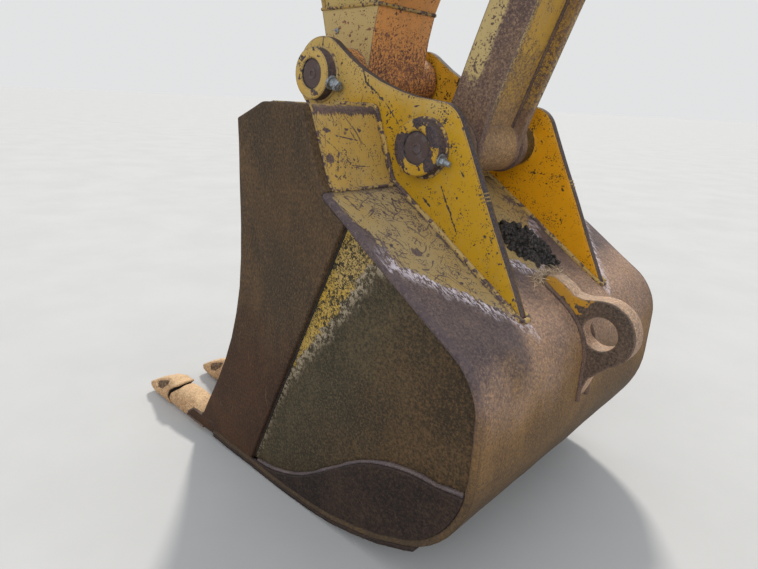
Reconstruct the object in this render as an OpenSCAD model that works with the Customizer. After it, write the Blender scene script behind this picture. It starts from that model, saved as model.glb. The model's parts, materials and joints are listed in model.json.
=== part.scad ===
// Digging end of a large crawler excavator: the stick with its bucket, linkage and bucket cylinder.
// The origin is the middle of the boom pin's bore. +Z is up, +X points away from the machine,
// and the bucket's teeth point back to the machine, along -X.

/* [Stick] */
// Height of the boom pin over the bucket pin
stick_len = 3380; // [3000:10:3800]
// How far the bucket pin stands ahead of the boom pin
stick_lean = 100; // [60:5:140]
// Width of the stick's box
stick_w = 340; // [300:5:380]
// Thickness of the box's side plates
web_t = 16; // [12:1:25]
// Thickness of the box's front and rear plates
flange_t = 20; // [14:1:30]
// Radius of the nose round the bucket pin
nose_r = 106; // [100:1:118]
// Height of the nose casting over the bucket pin
nose_h = 260; // [220:5:300]
// Width of the ring that the dust seal fills between nose and ear
seal_w = 14; // [10:1:20]
// Radius of the boss round the boom pin
boom_boss_r = 150; // [120:5:180]
// Length of the boss round the boom pin
boom_boss_w = 500; // [440:10:560]
// Radius of the boom pin's bore
boom_pin_r = 60; // [50:1:75]

/* [Stick upper end] */
// How far the stick cylinder's pin stands ahead of the boom pin
top_dx = 160; // [120:5:200]
// Height of the stick cylinder's pin over the boom pin
top_dz = 950; // [880:10:1050]
// Height of the box's upper end over the boom pin
box_top = 600; // [540:10:660]
// Radius of the two upper ears
top_ear_r = 125; // [100:5:140]
// Thickness of each upper ear
top_ear_t = 50; // [35:1:60]
// Gap between the two upper ears
top_gap = 200; // [160:5:220]
// Radius of the bore in the upper ears
top_pin_r = 55; // [45:1:65]

/* [Bucket cylinder] */
// How far the cylinder's base pin stands ahead of the boom pin
cyl_dx = 630; // [610:5:680]
// How far the cylinder's base pin stands below the boom pin
cyl_drop = 580; // [500:10:680]
// Distance of that pin from the stick's front face
cyl_standoff = 115; // [110:1:140]
// Radius of the cylinder's two pins and of the rocker pin
small_pin_r = 50; // [45:1:55]
// Radius of the eye at the cylinder's base
base_eye_r = 90; // [80:1:100]
// Width of both cylinder eyes
eye_w = 124; // [110:1:130]
// Thickness of each ear of the cylinder's bracket
bracket_t = 40; // [30:1:50]
// Outer radius of the barrel
barrel_r = 97.5; // [90:0.5:102]
// Wall thickness of the barrel
barrel_wall = 17.5; // [14:0.5:24]
// Length from the base pin to the barrel's open end
barrel_len = 1640; // [1580:10:1650]
// Length of the gland
gland_len = 70; // [50:5:80]
// Radius of the rod
rod_r = 55; // [50:1:60]
// Length from the rod's inner end to its pin
rod_len = 1640; // [1600:10:1660]
// Radius of the rod's eye
rod_eye_r = 92; // [85:1:98]

/* [Linkage] */
// How far the rocker pin stands ahead of the bucket pin
rocker_dx = 115; // [100:5:130]
// Height of the rocker pin over the bucket pin
rocker_dz = 450; // [430:5:480]
// Radius of the stick's tube round the rocker pin
rocker_tube_r = 88; // [78:1:95]
// Radius of the rocker ends
rocker_r = 95; // [85:1:98]
// Width of a rocker between its ends
rocker_waist = 130; // [100:5:150]
// Thickness of each rocker
rocker_t = 55; // [40:1:58]
// Distance between the link's two pins
link_len = 750; // [720:5:780]
// Lean of the link from upright
link_lean = 20.5; // [18:0.5:23]
// Width of the link
link_w = 300; // [280:5:316]
// Radius of the link's ends
link_r = 98; // [90:1:104]
// Depth of the link's side plates between its ends
link_depth = 165; // [140:5:180]
// Thickness of the link's side plates
link_side_t = 28; // [20:1:40]
// Thickness of the link's middle block
link_block_t = 70; // [50:5:90]
// Length of the link's middle block from the link pin
link_block_len = 548; // [500:4:580]
// Length of the link's boss on the link pin
link_boss_w = 400; // [360:10:430]

/* [Bucket] */
// Width over the side bars
bucket_w = 1350; // [1250:10:1500]
// Radius of the bucket's two pins
pin_r = 55; // [50:1:60]
// Distance from the bucket pin to the link pin
pin_reach = 582; // [560:2:600]
// Angle of the link pin below the bucket pin's level
pin_drop = 23.4; // [21:0.2:26]
// Thickness of the bent back and floor sheet
skin_t = 25; // [18:1:32]
// Thickness of the hinge plate at the top
hinge_t = 20; // [16:1:28]
// Thickness of the side bars along the mouth
bar_t = 45; // [35:1:60]
// Thickness of the side panels
panel_t = 20; // [14:1:30]
// Thickness of the lip
lip_t = 60; // [50:1:70]
// Length of the lip ahead of the floor sheet
lip_len = 219; // [190:1:240]
// Thickness of the wear strips under the floor
strip_t = 16; // [10:1:25]
// Width of a wear strip
strip_w = 100; // [60:5:140]
// Number of wear strips
strip_count = 4; // [3:1:6]

/* [Ears] */
// Gap between the ears
ear_gap = 568; // [556:2:580]
// Thickness of an ear
ear_t = 40; // [32:1:50]
// Radius of an ear round the bucket pin
ear_r = 138; // [130:1:141]
// Radius of the collars on the ears
collar_r = 95; // [85:1:105]
// How far the collars stand out of the ears
collar_w = 50; // [35:1:60]
// How far a pin's end lies inside its collar
pin_inset = 7; // [2:1:12]
// Radius of the pads inside the ears, next to the link's boss
pad_r = 82; // [76:1:90]

/* [Teeth] */
// Number of teeth
tooth_count = 5; // [4:1:6]
// Distance of the outer teeth's middle from the bucket's side
tooth_edge = 58; // [56:1:70]
// Width of an adapter
adapter_w = 112; // [100:1:112]
// Width of an adapter's nose inside the tooth
adapter_nose_w = 84; // [70:1:90]
// Width of a tooth at its back
tooth_w = 124; // [120:1:136]
// Width of a tooth at its edge
tooth_tip_w = 96; // [80:1:112]
// Length of a tooth ahead of its adapter
tooth_len = 285; // [270:1:300]
// How far an adapter reaches ahead of the lip
adapter_reach = 121; // [110:1:130]
// Length of an adapter's nose inside the tooth
adapter_nose_len = 158; // [150:1:170]

/* [Lifting eye] */
// Thickness of the lifting eye
eye_t = 70; // [50:1:90]
// Radius of the lifting eye
eye_r = 118; // [112:1:126]
// Radius of its hole
eye_hole_r = 60; // [54:1:64]

/* [Hidden] */
$fn = 64;
// Running clearance between a pin and a turning bore
run = 0.05;
// Side clearance between turning pieces
side_gap = 5;
// Gap between a sliding cap and what it covers
seat_gap = 0.3;

// Places of the pins, as [x, z]
nose_pin = [stick_lean, -stick_len];
rocker_pin = nose_pin + [rocker_dx, rocker_dz];
link_pin = nose_pin + pin_reach * [cos(pin_drop), -sin(pin_drop)];
tip_pin = link_pin + link_len * [sin(link_lean), cos(link_lean)];
base_pin = [cyl_dx, -cyl_drop];
top_pin = [top_dx, top_dz];
cyl_reach = norm(tip_pin - base_pin);
cyl_turn = atan2(tip_pin.x - base_pin.x, tip_pin.y - base_pin.y);
rocker_reach = norm(tip_pin - rocker_pin);
rocker_turn = atan2(tip_pin.x - rocker_pin.x, tip_pin.y - rocker_pin.y);

// Half widths, from the middle outwards
half_box = stick_w / 2;
half_tube = half_box + 6;
rocker_in = half_tube + 6;
half_nose = ear_gap / 2 - seal_w - 1;
half_link_boss = link_boss_w / 2;
cheek_in = eye_w / 2 + 8;
pad_in = half_link_boss + side_gap + 1;
half_bucket = bucket_w / 2;
bar_in = half_bucket - bar_t;

// The stick's outline: height, front face and rear face, the lower rows from the bucket pin,
// the upper rows from the boom pin
low_rows = [
    [nose_h, 150, 172],
    [rocker_dz, rocker_dx + rocker_tube_r + flange_t + 10, 225],
    [620, 240, 262],
    [1150, 248, 308],
    [1700, 310, 330]
];
// Where the nose casting's front face bends back to the bucket pin
nose_bend = [126, 165];
bracket_face = cyl_dx - cyl_standoff;
high_rows = [
    [-cyl_drop - 480, bracket_face - 12, 235],
    [-cyl_drop - 190, bracket_face, 242],
    [-cyl_drop + 200, bracket_face, 246],
    [80, 455, 222],
    [330, 390, 120],
    [box_top, 320, -40]
];
front_line = concat(
    [for (r = low_rows) nose_pin + [r[1], r[0]]],
    [for (r = high_rows) [r[1], r[0]]]
);
rear_line = concat(
    [for (r = low_rows) nose_pin + [-r[2], r[0]]],
    [for (r = high_rows) [-r[2], r[0]]]
);

// Where a face line of the box lies at height z, moved by t
function inner_x(line, z, t) = lookup(z, [for (p = line) [p.y, p.x]]) + t;

// Bucket outlines are traced from a pose, [x, z, heading], through rows of [length, turn],
// with a left turn positive
top_pose = [-47, -166, 21.7];
top_rows = [[150, 0], [24, -21.7], [166, 0], [34, -68.2]];
back_rows = [[232, 0], [40, 34.9]];
upper_back = [125, 0];
lower_back = [540, 0];
upper_heel = [218, -56.7];
heel_flat = [175, 0];
heel_top = [85, -11.6];
heel_low = [390, -53.4];
floor_bend = [617, -26];
floor_rear = [260, 0];
floor_front = [300, 0];
mouth_rows = [[394, 0], [743, -32]];
wave_rows = [[430, 36], [230, 0], [400, -38]];
bar_toe = 84;
ear_foot = 660;
strip_start = 8;

function turn_radius(row) = row[0] * 180 / (PI * row[1]);
function leg_end(p, row) = row[1] == 0
    ? [p[0] + row[0] * cos(p[2]), p[1] + row[0] * sin(p[2]), p[2]]
    : [
        p[0] + turn_radius(row) * (sin(p[2] + row[1]) - sin(p[2])),
        p[1] - turn_radius(row) * (cos(p[2] + row[1]) - cos(p[2])),
        p[2] + row[1]
    ];
function steps(row) = row[1] == 0 ? 1 : ceil(abs(row[1]) / 6);
function leg(p, row) = [for (i = [0 : steps(row) - 1]) leg_end(p, row * i / steps(row))];
function trace(p, rows, i = 0) = i == len(rows)
    ? [p]
    : concat(leg(p, rows[i]), trace(leg_end(p, rows[i]), rows, i + 1));
function last(list) = list[len(list) - 1];
function path_end(p, rows) = last(trace(p, rows));
function back(list) = [for (i = [len(list) - 1 : -1 : 0]) list[i]];
// The same path, moved to its right by t
function beside(path, t) = [for (p = path) [p[0] + t * sin(p[2]), p[1] - t * cos(p[2])]];
function band(path, t) = concat(beside(path, 0), back(beside(path, t)));
// A point ahead of a pose by f and to its right by n
function from_pose(p, f, n) = [
    p[0] + f * cos(p[2]) + n * sin(p[2]),
    p[1] + f * sin(p[2]) - n * cos(p[2])
];
function arc(c, r, a, b, n) = [for (i = [0 : n]) c + r * [cos(a + (b - a) * i / n), sin(a + (b - a) * i / n)]];

back_pose = path_end(top_pose, top_rows);
bend_pose = path_end(back_pose, back_rows);
vertex_pose = leg_end(bend_pose, upper_back);
wear_pose = path_end(vertex_pose, [lower_back, upper_heel, heel_flat, heel_top]);
toe_pose = path_end(wear_pose, [heel_low, floor_bend, floor_rear]);
lip_pose = leg_end(toe_pose, floor_front);
skin_path = trace(bend_pose, [
    upper_back, lower_back, upper_heel, heel_flat, heel_top, heel_low, floor_bend, floor_rear, floor_front
]);
mouth_path = trace([top_pose[0], top_pose[1], -90], mouth_rows);

// Draws an [x, z] outline as a plate from y0 to y0 + t
module plate(y0, t) {
    translate([0, y0 + t, 0]) rotate([90, 0, 0]) linear_extrude(t) children();
}
module both_sides() {
    children();
    mirror([0, 1, 0]) children();
}
// A cylinder along Y at an [x, z] place
module round_bar(c, r, y0, t) {
    translate([c.x, y0 + t, c.y]) rotate([90, 0, 0]) cylinder(r = r, h = t);
}
module through(c, r, half) {
    round_bar(c, r, -half - 1, 2 * half + 2);
}
// The bucket's outlines are drawn round the bucket pin
module at_nose() {
    translate([nose_pin.x, 0, nose_pin.y]) children();
}

module stick_nose() {
    color("goldenrod") difference() {
        union() {
            plate(-half_box, stick_w) polygon(concat(
                arc(nose_pin, nose_r, 186, 372, 31),
                [nose_pin + nose_bend, front_line[0], rear_line[0]]
            ));
            round_bar(nose_pin, nose_r, -half_nose, 2 * half_nose);
        }
        through(nose_pin, pin_r + run, half_nose);
    }
}

module stick_side() {
    color("darkkhaki") difference() {
        plate(half_box - web_t, web_t) polygon(concat(
            [for (p = front_line) p - [flange_t, 0]],
            back([for (p = rear_line) p + [flange_t, 0]])
        ));
        through(rocker_pin, rocker_tube_r, half_box);
        through([0, 0], boom_boss_r, half_box);
    }
}
module stick_side_left() { stick_side(); }
module stick_side_right() { mirror([0, 1, 0]) stick_side(); }

module face_plate(line, t) {
    plate(-half_box, stick_w) polygon(concat(line, back([for (p = line) p - [t, 0]])));
}
module stick_front_plate() {
    color("goldenrod") face_plate(front_line, flange_t);
}
module stick_rear_plate() {
    color("goldenrod") face_plate(rear_line, -flange_t);
}

module stick_end_plate() {
    inner = half_box - web_t;
    low = box_top - flange_t;
    color("goldenrod") plate(-inner, 2 * inner) polygon([
        [inner_x(rear_line, low, flange_t), low],
        [inner_x(rear_line, box_top, flange_t), box_top],
        [inner_x(front_line, box_top, -flange_t), box_top],
        [inner_x(front_line, low, -flange_t), low]
    ]);
}

module boom_boss() {
    color("goldenrod") difference() {
        round_bar([0, 0], boom_boss_r, -boom_boss_w / 2, boom_boss_w);
        through([0, 0], boom_pin_r, boom_boss_w / 2);
    }
}

module rocker_tube() {
    color("goldenrod") difference() {
        round_bar(rocker_pin, rocker_tube_r, -half_tube, 2 * half_tube);
        through(rocker_pin, small_pin_r, half_tube);
    }
}

module upper_ears() {
    foot_rear = inner_x(rear_line, box_top, flange_t);
    foot_front = inner_x(front_line, box_top, -flange_t);
    color("goldenrod") both_sides() difference() {
        plate(top_gap / 2, top_ear_t) polygon(concat(
            [[foot_front, box_top]],
            arc(top_pin, top_ear_r, 10, 190, 30),
            [[foot_rear, box_top]]
        ));
        through(top_pin, top_pin_r, top_gap);
    }
}

module cylinder_bracket() {
    color("goldenrod") both_sides() difference() {
        plate(eye_w / 2 + 2, bracket_t) polygon(concat(
            [[bracket_face, base_pin.y + 185]],
            back(arc(base_pin, base_eye_r + 5, -90, 75, 26)),
            [[bracket_face, base_pin.y - base_eye_r - 5]]
        ));
        through(base_pin, small_pin_r, stick_w);
    }
}

module cylinder_base_pin() {
    half = eye_w / 2 + 2 + bracket_t + 12;
    color("dimgray") round_bar(base_pin, small_pin_r, -half, 2 * half);
}

module rocker_pin() {
    outer = rocker_in + rocker_t + seat_gap;
    color("dimgray") union() {
        round_bar(rocker_pin, small_pin_r, -outer, 2 * outer);
        both_sides() round_bar(rocker_pin, small_pin_r + 20, outer, 6);
    }
}

module nose_seals() {
    color("black") both_sides() difference() {
        round_bar(nose_pin, nose_r - 10, half_nose, seal_w);
        through(nose_pin, pin_r + 4, ear_gap);
    }
}

module rocker() {
    half = rocker_waist / 2;
    end = rocker_r - 3;
    tip = [0, rocker_reach];
    color("darkkhaki") translate([rocker_pin.x, 0, rocker_pin.y]) rotate([0, rocker_turn, 0]) difference() {
        union() {
            round_bar([0, 0], rocker_r, rocker_in, rocker_t);
            round_bar(tip, rocker_r, rocker_in, rocker_t);
            plate(rocker_in, rocker_t) polygon([
                [-end, 0], [-half, 130], [-half, rocker_reach - 130], [-end, rocker_reach],
                [end, rocker_reach], [half, rocker_reach - 130], [half, 130], [end, 0]
            ]);
        }
        through([0, 0], small_pin_r + run, ear_gap);
        through(tip, small_pin_r + run, ear_gap);
    }
}
module rocker_left() { rocker(); }
module rocker_right() { mirror([0, 1, 0]) rocker(); }

// The tip pin is drawn in five lengths, one in each piece that turns on it
module rocker_tip_pins() {
    start = link_w / 2 + side_gap;
    end = rocker_in + rocker_t;
    color("dimgray") both_sides() union() {
        round_bar(tip_pin, small_pin_r, start, end - start);
        round_bar(tip_pin, small_pin_r + 20, end, 6);
    }
}

module link() {
    half = link_depth / 2;
    end = link_r - 3;
    color("sienna") difference() {
        union() {
            both_sides() {
                round_bar(tip_pin, link_r, cheek_in, link_w / 2 - cheek_in);
                translate([link_pin.x, 0, link_pin.y]) rotate([0, link_lean, 0])
                    plate(link_w / 2 - link_side_t, link_side_t) polygon([
                        [-end, 0], [-half, 140], [-half, link_len - 140], [-end, link_len],
                        [end, link_len], [half, link_len - 140], [half, 140], [end, 0]
                    ]);
            }
            round_bar(link_pin, link_r, -half_link_boss, 2 * half_link_boss);
            translate([link_pin.x, 0, link_pin.y]) rotate([0, link_lean, 0])
                plate(-link_w / 2 + link_side_t, link_w - 2 * link_side_t) polygon([
                    [-link_block_t / 2, 0], [-link_block_t / 2, link_block_len],
                    [link_block_t / 2, link_block_len], [link_block_t / 2, 0]
                ]);
        }
        through(link_pin, pin_r + run, ear_gap);
        through(tip_pin, small_pin_r, ear_gap);
    }
}

module link_tip_pins() {
    color("dimgray") both_sides()
        round_bar(tip_pin, small_pin_r, cheek_in, link_w / 2 - cheek_in);
}

// Draws along the cylinder's axis, with +Z from its base pin to the tip pin
module at_cylinder() {
    translate([base_pin.x, 0, base_pin.y]) rotate([0, cyl_turn, 0]) children();
}

module barrel() {
    color("darkkhaki") at_cylinder() difference() {
        union() {
            round_bar([0, 0], base_eye_r, -eye_w / 2, eye_w);
            cylinder(r = eye_w / 2, h = base_eye_r + 60);
            translate([0, 0, base_eye_r + 20]) cylinder(r = barrel_r, h = barrel_len - base_eye_r - 20);
        }
        through([0, 0], small_pin_r + run, eye_w);
        translate([0, 0, base_eye_r + 70]) cylinder(r = barrel_r - barrel_wall, h = barrel_len);
    }
}

module gland() {
    color("dimgray") at_cylinder() translate([0, 0, barrel_len]) difference() {
        cylinder(r = barrel_r + 12, h = gland_len);
        translate([0, 0, -1]) cylinder(r = rod_r + run, h = gland_len + 2);
    }
}

module barrel_pipe() {
    pipe_r = 14;
    pipe_x = -barrel_r - 26;
    low = 260;
    high = barrel_len - 60;
    color("dimgray") at_cylinder() difference() {
        union() {
            translate([pipe_x, 0, low]) cylinder(r = pipe_r, h = high - low);
            for (z = [low, high]) {
                translate([pipe_x, 0, z]) sphere(r = pipe_r);
                translate([pipe_x, 0, z]) rotate([0, 90, 0]) cylinder(r = pipe_r, h = -pipe_x);
            }
            for (z = [low + 300, (low + high) / 2, high - 300])
                translate([pipe_x - 20, -22, z - 15]) cube([40 + 40, 44, 30]);
        }
        cylinder(r = barrel_r, h = barrel_len);
    }
}

module rod() {
    color("silver") at_cylinder() translate([0, 0, cyl_reach - rod_len])
        cylinder(r = rod_r, h = rod_len - rod_eye_r - 10);
}

module rod_eye() {
    color("darkkhaki") difference() {
        union() {
            at_cylinder() translate([0, 0, cyl_reach - rod_eye_r - 10]) cylinder(r = rod_r, h = 60);
            round_bar(tip_pin, rod_eye_r, -eye_w / 2, eye_w);
        }
        through(tip_pin, small_pin_r, eye_w);
    }
}

module rod_tip_pin() {
    color("dimgray") round_bar(tip_pin, small_pin_r, -eye_w / 2, eye_w);
}

module ear() {
    c = [0, 0];
    b = link_pin - nose_pin;
    color("goldenrod") at_nose() difference() {
        union() {
            plate(ear_gap / 2, ear_t) polygon(concat(
                [[-66, top_pose[1]]],
                arc(c, ear_r, 241.4, 52, 32),
                beside(trace([ear_r * cos(52), ear_r * sin(52), -38], [[534, 34], [10, 0], [111, -58.7]]), 0),
                [from_pose(bend_pose, ear_foot, 0)],
                back(beside(trace(top_pose, concat(top_rows, back_rows, [upper_back])), 0))
            ));
            for (p = [c, b]) round_bar(p, collar_r, ear_gap / 2 + ear_t, collar_w);
            round_bar(b, pad_r, pad_in, ear_gap / 2 - pad_in);
        }
        for (p = [c, b]) through(p, pin_r, ear_gap);
    }
}
module ear_left() { ear(); }
module ear_right() { mirror([0, 1, 0]) ear(); }

module long_pin(p) {
    half = ear_gap / 2 + ear_t + collar_w - pin_inset;
    color("dimgray") round_bar(p, pin_r, -half, 2 * half);
}
module bucket_pin() { long_pin(nose_pin); }
module link_pin() { long_pin(link_pin); }

module hinge_plate() {
    color("goldenrod") at_nose() plate(-bar_in, 2 * bar_in)
        polygon(band(trace(top_pose, concat(top_rows, back_rows)), hinge_t));
}

module box_plate() {
    low = leg_end(back_pose, [back_rows[0][0], 0]);
    color("saddlebrown") at_nose() plate(-bar_in, 2 * bar_in) polygon([
        from_pose(top_pose, 0, hinge_t + seat_gap),
        from_pose(top_pose, 34, hinge_t + seat_gap),
        from_pose(low, -34, hinge_t + seat_gap),
        from_pose(low, 0, hinge_t + seat_gap)
    ]);
}

module bucket_skin() {
    color("peru") at_nose() plate(-half_bucket, bucket_w) polygon(band(skin_path, skin_t));
}

module side_bar() {
    color("saddlebrown") at_nose() plate(bar_in, bar_t) polygon(concat(
        beside(trace(top_pose, concat(top_rows, back_rows)), 0),
        beside([bend_pose, vertex_pose, toe_pose, lip_pose], skin_t),
        [from_pose(lip_pose, 0, lip_t), from_pose(lip_pose, bar_toe, lip_t)],
        back(beside(mouth_path, 0))
    ));
}
module side_bar_left() { side_bar(); }
module side_bar_right() { mirror([0, 1, 0]) side_bar(); }

module side_panel() {
    color("saddlebrown") at_nose() plate(bar_in, panel_t) polygon(beside(trace(vertex_pose, [
        lower_back, upper_heel, heel_flat, heel_top, heel_low, floor_bend, floor_rear
    ]), skin_t));
}
module side_panel_left() { side_panel(); }
module side_panel_right() { mirror([0, 1, 0]) side_panel(); }

module corner_plates() {
    start = from_pose(toe_pose, 0, skin_t);
    wave = trace([start.x, start.y, 0], wave_rows);
    color("saddlebrown") at_nose() both_sides() plate(bar_in + panel_t, bar_t - panel_t) polygon(concat(
        beside(trace(wear_pose, [heel_low, floor_bend, floor_rear]), skin_t),
        [for (i = [1 : len(wave) - 1]) [wave[i][0], wave[i][1]]]
    ));
}

module floor_strips() {
    full = trace(wear_pose, [heel_low, floor_bend, floor_rear, floor_front]);
    path = [for (i = [strip_start : len(full) - 1]) full[i]];
    pitch = (bucket_w - strip_w) / (strip_count - 1);
    color("peru") at_nose() for (i = [0 : strip_count - 1])
        plate(-half_bucket + i * pitch, strip_w) polygon(band(path, -strip_t));
}

module lip_section() {
    polygon([for (q = [[0, 0], [lip_len, 0], [lip_len, 22], [lip_len - 60, lip_t], [0, lip_t]])
        from_pose(lip_pose, q[0], q[1])]);
}
module lip() {
    color("saddlebrown") at_nose() plate(-half_bucket, bucket_w) lip_section();
}

// Repeats a tooth's piece along the lip
module along_lip() {
    first = half_bucket - tooth_edge;
    pitch = 2 * first / (tooth_count - 1);
    at_nose() for (i = [0 : tooth_count - 1])
        translate([0, -first + i * pitch, 0]) children();
}
function lip_points(list) = [for (q = list) from_pose(lip_pose, q[0], q[1])];
// A nose's outline ahead of the lip, as [forward, up]
adapter_front = lip_len + adapter_reach;
adapter_top = lip_t + 32;
adapter_low = -32;
// How far the joint between adapter and tooth leans ahead towards its lower end
joint_lean = 70;
nose_points = lip_points([
    [adapter_front - 30, adapter_top - 14], [adapter_front + 8, adapter_top - 14],
    [adapter_front + adapter_nose_len - 10, 36], [adapter_front + adapter_nose_len, 20],
    [adapter_front + joint_lean, adapter_low + 16], [adapter_front - 30, adapter_low + 16]
]);

module adapters() {
    color("tan") along_lip() difference() {
        union() {
            plate(-adapter_w / 2, adapter_w) polygon(lip_points([
                [bar_toe + 12, lip_t], [bar_toe + 24, lip_t + 20], [bar_toe + 66, lip_t + 34],
                [adapter_front - 80, adapter_top + 6], [adapter_front, adapter_top],
                [adapter_front + joint_lean, adapter_low], [adapter_front - 60, adapter_low], [90, -20], [70, 0]
            ]));
            plate(-adapter_nose_w / 2, adapter_nose_w) polygon(nose_points);
        }
        plate(-adapter_w, 2 * adapter_w) lip_section();
        plate(-adapter_w, 2 * adapter_w) polygon(lip_points([[-10, 0], [0, 0], [lip_len, 0], [0, lip_t], [-10, lip_t]]));
    }
}

module teeth() {
    tip = adapter_front + tooth_len;
    waist = tooth_len * 0.4;
    color("tan") along_lip() difference() {
        intersection() {
            plate(-tooth_w / 2, tooth_w) polygon(lip_points([
                [adapter_front + 2, adapter_top + 18], [adapter_front + 55, adapter_top + 22],
                [adapter_front + 110, adapter_top + 8], [adapter_front + 185, 62], [adapter_front + 250, 32], [tip, 12],
                [tip, -12], [adapter_front + 220, -34], [adapter_front + joint_lean + 4, adapter_low - 4]
            ]));
            translate([lip_pose[0] - adapter_front + 1, 0, -stick_len / 2]) linear_extrude(stick_len)
                polygon([[1, -tooth_w / 2], [-waist, -tooth_w / 2], [-tooth_len - 2, -tooth_tip_w / 2],
                    [-tooth_len - 2, tooth_tip_w / 2], [-waist, tooth_w / 2], [1, tooth_w / 2]]);
        }
        plate(-adapter_nose_w / 2, adapter_nose_w) polygon(nose_points);
    }
}

module lifting_eye() {
    c = [1117, -808];
    seat = trace(leg_end(bend_pose, [555, 0]), [[110, 0], upper_heel, [150, 0]]);
    color("peru") at_nose() difference() {
        plate(-eye_t / 2, eye_t) polygon(concat(
            beside(seat, 0),
            [[1100, -985]],
            arc(c, eye_r, -65, 105, 26),
            [[1040, -702], [1008, -698], [975, -672], [930, -648], [895, -648]]
        ));
        through(c, eye_hole_r, eye_t);
    }
}

stick_nose();
stick_side_left();
stick_side_right();
stick_front_plate();
stick_rear_plate();
stick_end_plate();
boom_boss();
rocker_tube();
upper_ears();
cylinder_bracket();
cylinder_base_pin();
rocker_pin();
nose_seals();
rocker_left();
rocker_right();
rocker_tip_pins();
link();
link_tip_pins();
barrel();
gland();
barrel_pipe();
rod();
rod_eye();
rod_tip_pin();
ear_left();
ear_right();
bucket_pin();
link_pin();
hinge_plate();
box_plate();
bucket_skin();
side_bar_left();
side_bar_right();
side_panel_left();
side_panel_right();
corner_plates();
floor_strips();
lip();
adapters();
teeth();
lifting_eye();
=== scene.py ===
"""Dresses the digging end of a large excavator: stick, linkage, bucket cylinder and toothed bucket."""

import functools
import json
import logging
import math
import random
from dataclasses import dataclass, field
from enum import Enum
from typing import Callable, Iterable, Sequence

import bmesh
import bpy
from mathutils import Matrix, Vector, noise

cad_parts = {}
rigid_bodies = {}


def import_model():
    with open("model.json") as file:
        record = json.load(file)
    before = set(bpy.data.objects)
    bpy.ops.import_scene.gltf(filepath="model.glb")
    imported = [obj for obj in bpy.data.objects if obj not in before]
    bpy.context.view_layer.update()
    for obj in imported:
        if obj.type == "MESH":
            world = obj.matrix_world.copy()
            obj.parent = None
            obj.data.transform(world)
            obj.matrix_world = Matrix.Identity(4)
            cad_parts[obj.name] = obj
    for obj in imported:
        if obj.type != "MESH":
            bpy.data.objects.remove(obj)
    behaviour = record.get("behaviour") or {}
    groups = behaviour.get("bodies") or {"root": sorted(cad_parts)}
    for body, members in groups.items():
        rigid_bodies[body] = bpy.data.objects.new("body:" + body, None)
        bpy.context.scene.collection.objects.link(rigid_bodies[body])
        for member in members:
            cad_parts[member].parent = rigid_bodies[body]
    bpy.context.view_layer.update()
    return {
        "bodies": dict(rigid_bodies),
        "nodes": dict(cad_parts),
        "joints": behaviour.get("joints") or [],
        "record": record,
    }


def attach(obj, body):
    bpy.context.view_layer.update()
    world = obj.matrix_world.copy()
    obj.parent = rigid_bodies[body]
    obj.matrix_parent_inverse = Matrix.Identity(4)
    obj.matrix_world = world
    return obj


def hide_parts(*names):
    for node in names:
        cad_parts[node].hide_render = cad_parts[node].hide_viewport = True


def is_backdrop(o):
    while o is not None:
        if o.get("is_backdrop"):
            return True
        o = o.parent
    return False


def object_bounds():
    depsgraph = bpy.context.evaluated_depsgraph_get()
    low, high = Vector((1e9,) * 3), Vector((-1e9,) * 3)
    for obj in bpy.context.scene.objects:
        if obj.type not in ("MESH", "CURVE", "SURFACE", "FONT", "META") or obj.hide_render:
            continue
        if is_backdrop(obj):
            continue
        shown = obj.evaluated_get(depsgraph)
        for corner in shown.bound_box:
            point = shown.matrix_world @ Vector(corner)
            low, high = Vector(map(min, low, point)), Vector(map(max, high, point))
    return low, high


log = logging.getLogger("excavator_bucket")

Colour = tuple[float, float, float]
Point = tuple[float, float, float]
Flat = tuple[float, float]
Material = bpy.types.Material
Tree = bpy.types.NodeTree
Node = bpy.types.Node
Socket = bpy.types.NodeSocket
Value = Socket | float | tuple

BUCKET_PIN: Flat = (0.100, -3.380)
LINK_PIN: Flat = (0.63413, -3.61114)
TIP_PIN: Flat = (0.89679, -2.90863)
ROCKER_PIN: Flat = (0.215, -2.930)
BASE_PIN: Flat = (0.630, -0.580)
MIDDLE: Point = (0.0, 0.0, 0.0)
AHEAD: Point = (1.0, 0.0, 0.0)
ACROSS: Point = (0.0, 1.0, 0.0)
UP: Point = (0.0, 0.0, 1.0)


class Body(Enum):
    """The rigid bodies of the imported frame."""

    STICK = "stick"
    ROCKERS = "rockers"
    LINK = "link"
    BARREL = "cylinder_barrel"
    ROD = "cylinder_rod"
    BUCKET = "bucket"


class Slot(Enum):
    """The record's material slots."""

    YELLOW = "yellow_paint"
    RUSTED_YELLOW = "rusted_yellow_paint"
    RUST = "rusted_steel"
    TOOTH = "dusty_tooth_steel"
    PIN = "dark_pin_steel"
    CHROME = "chrome_rod"
    SEAL = "seal_rubber"


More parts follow.
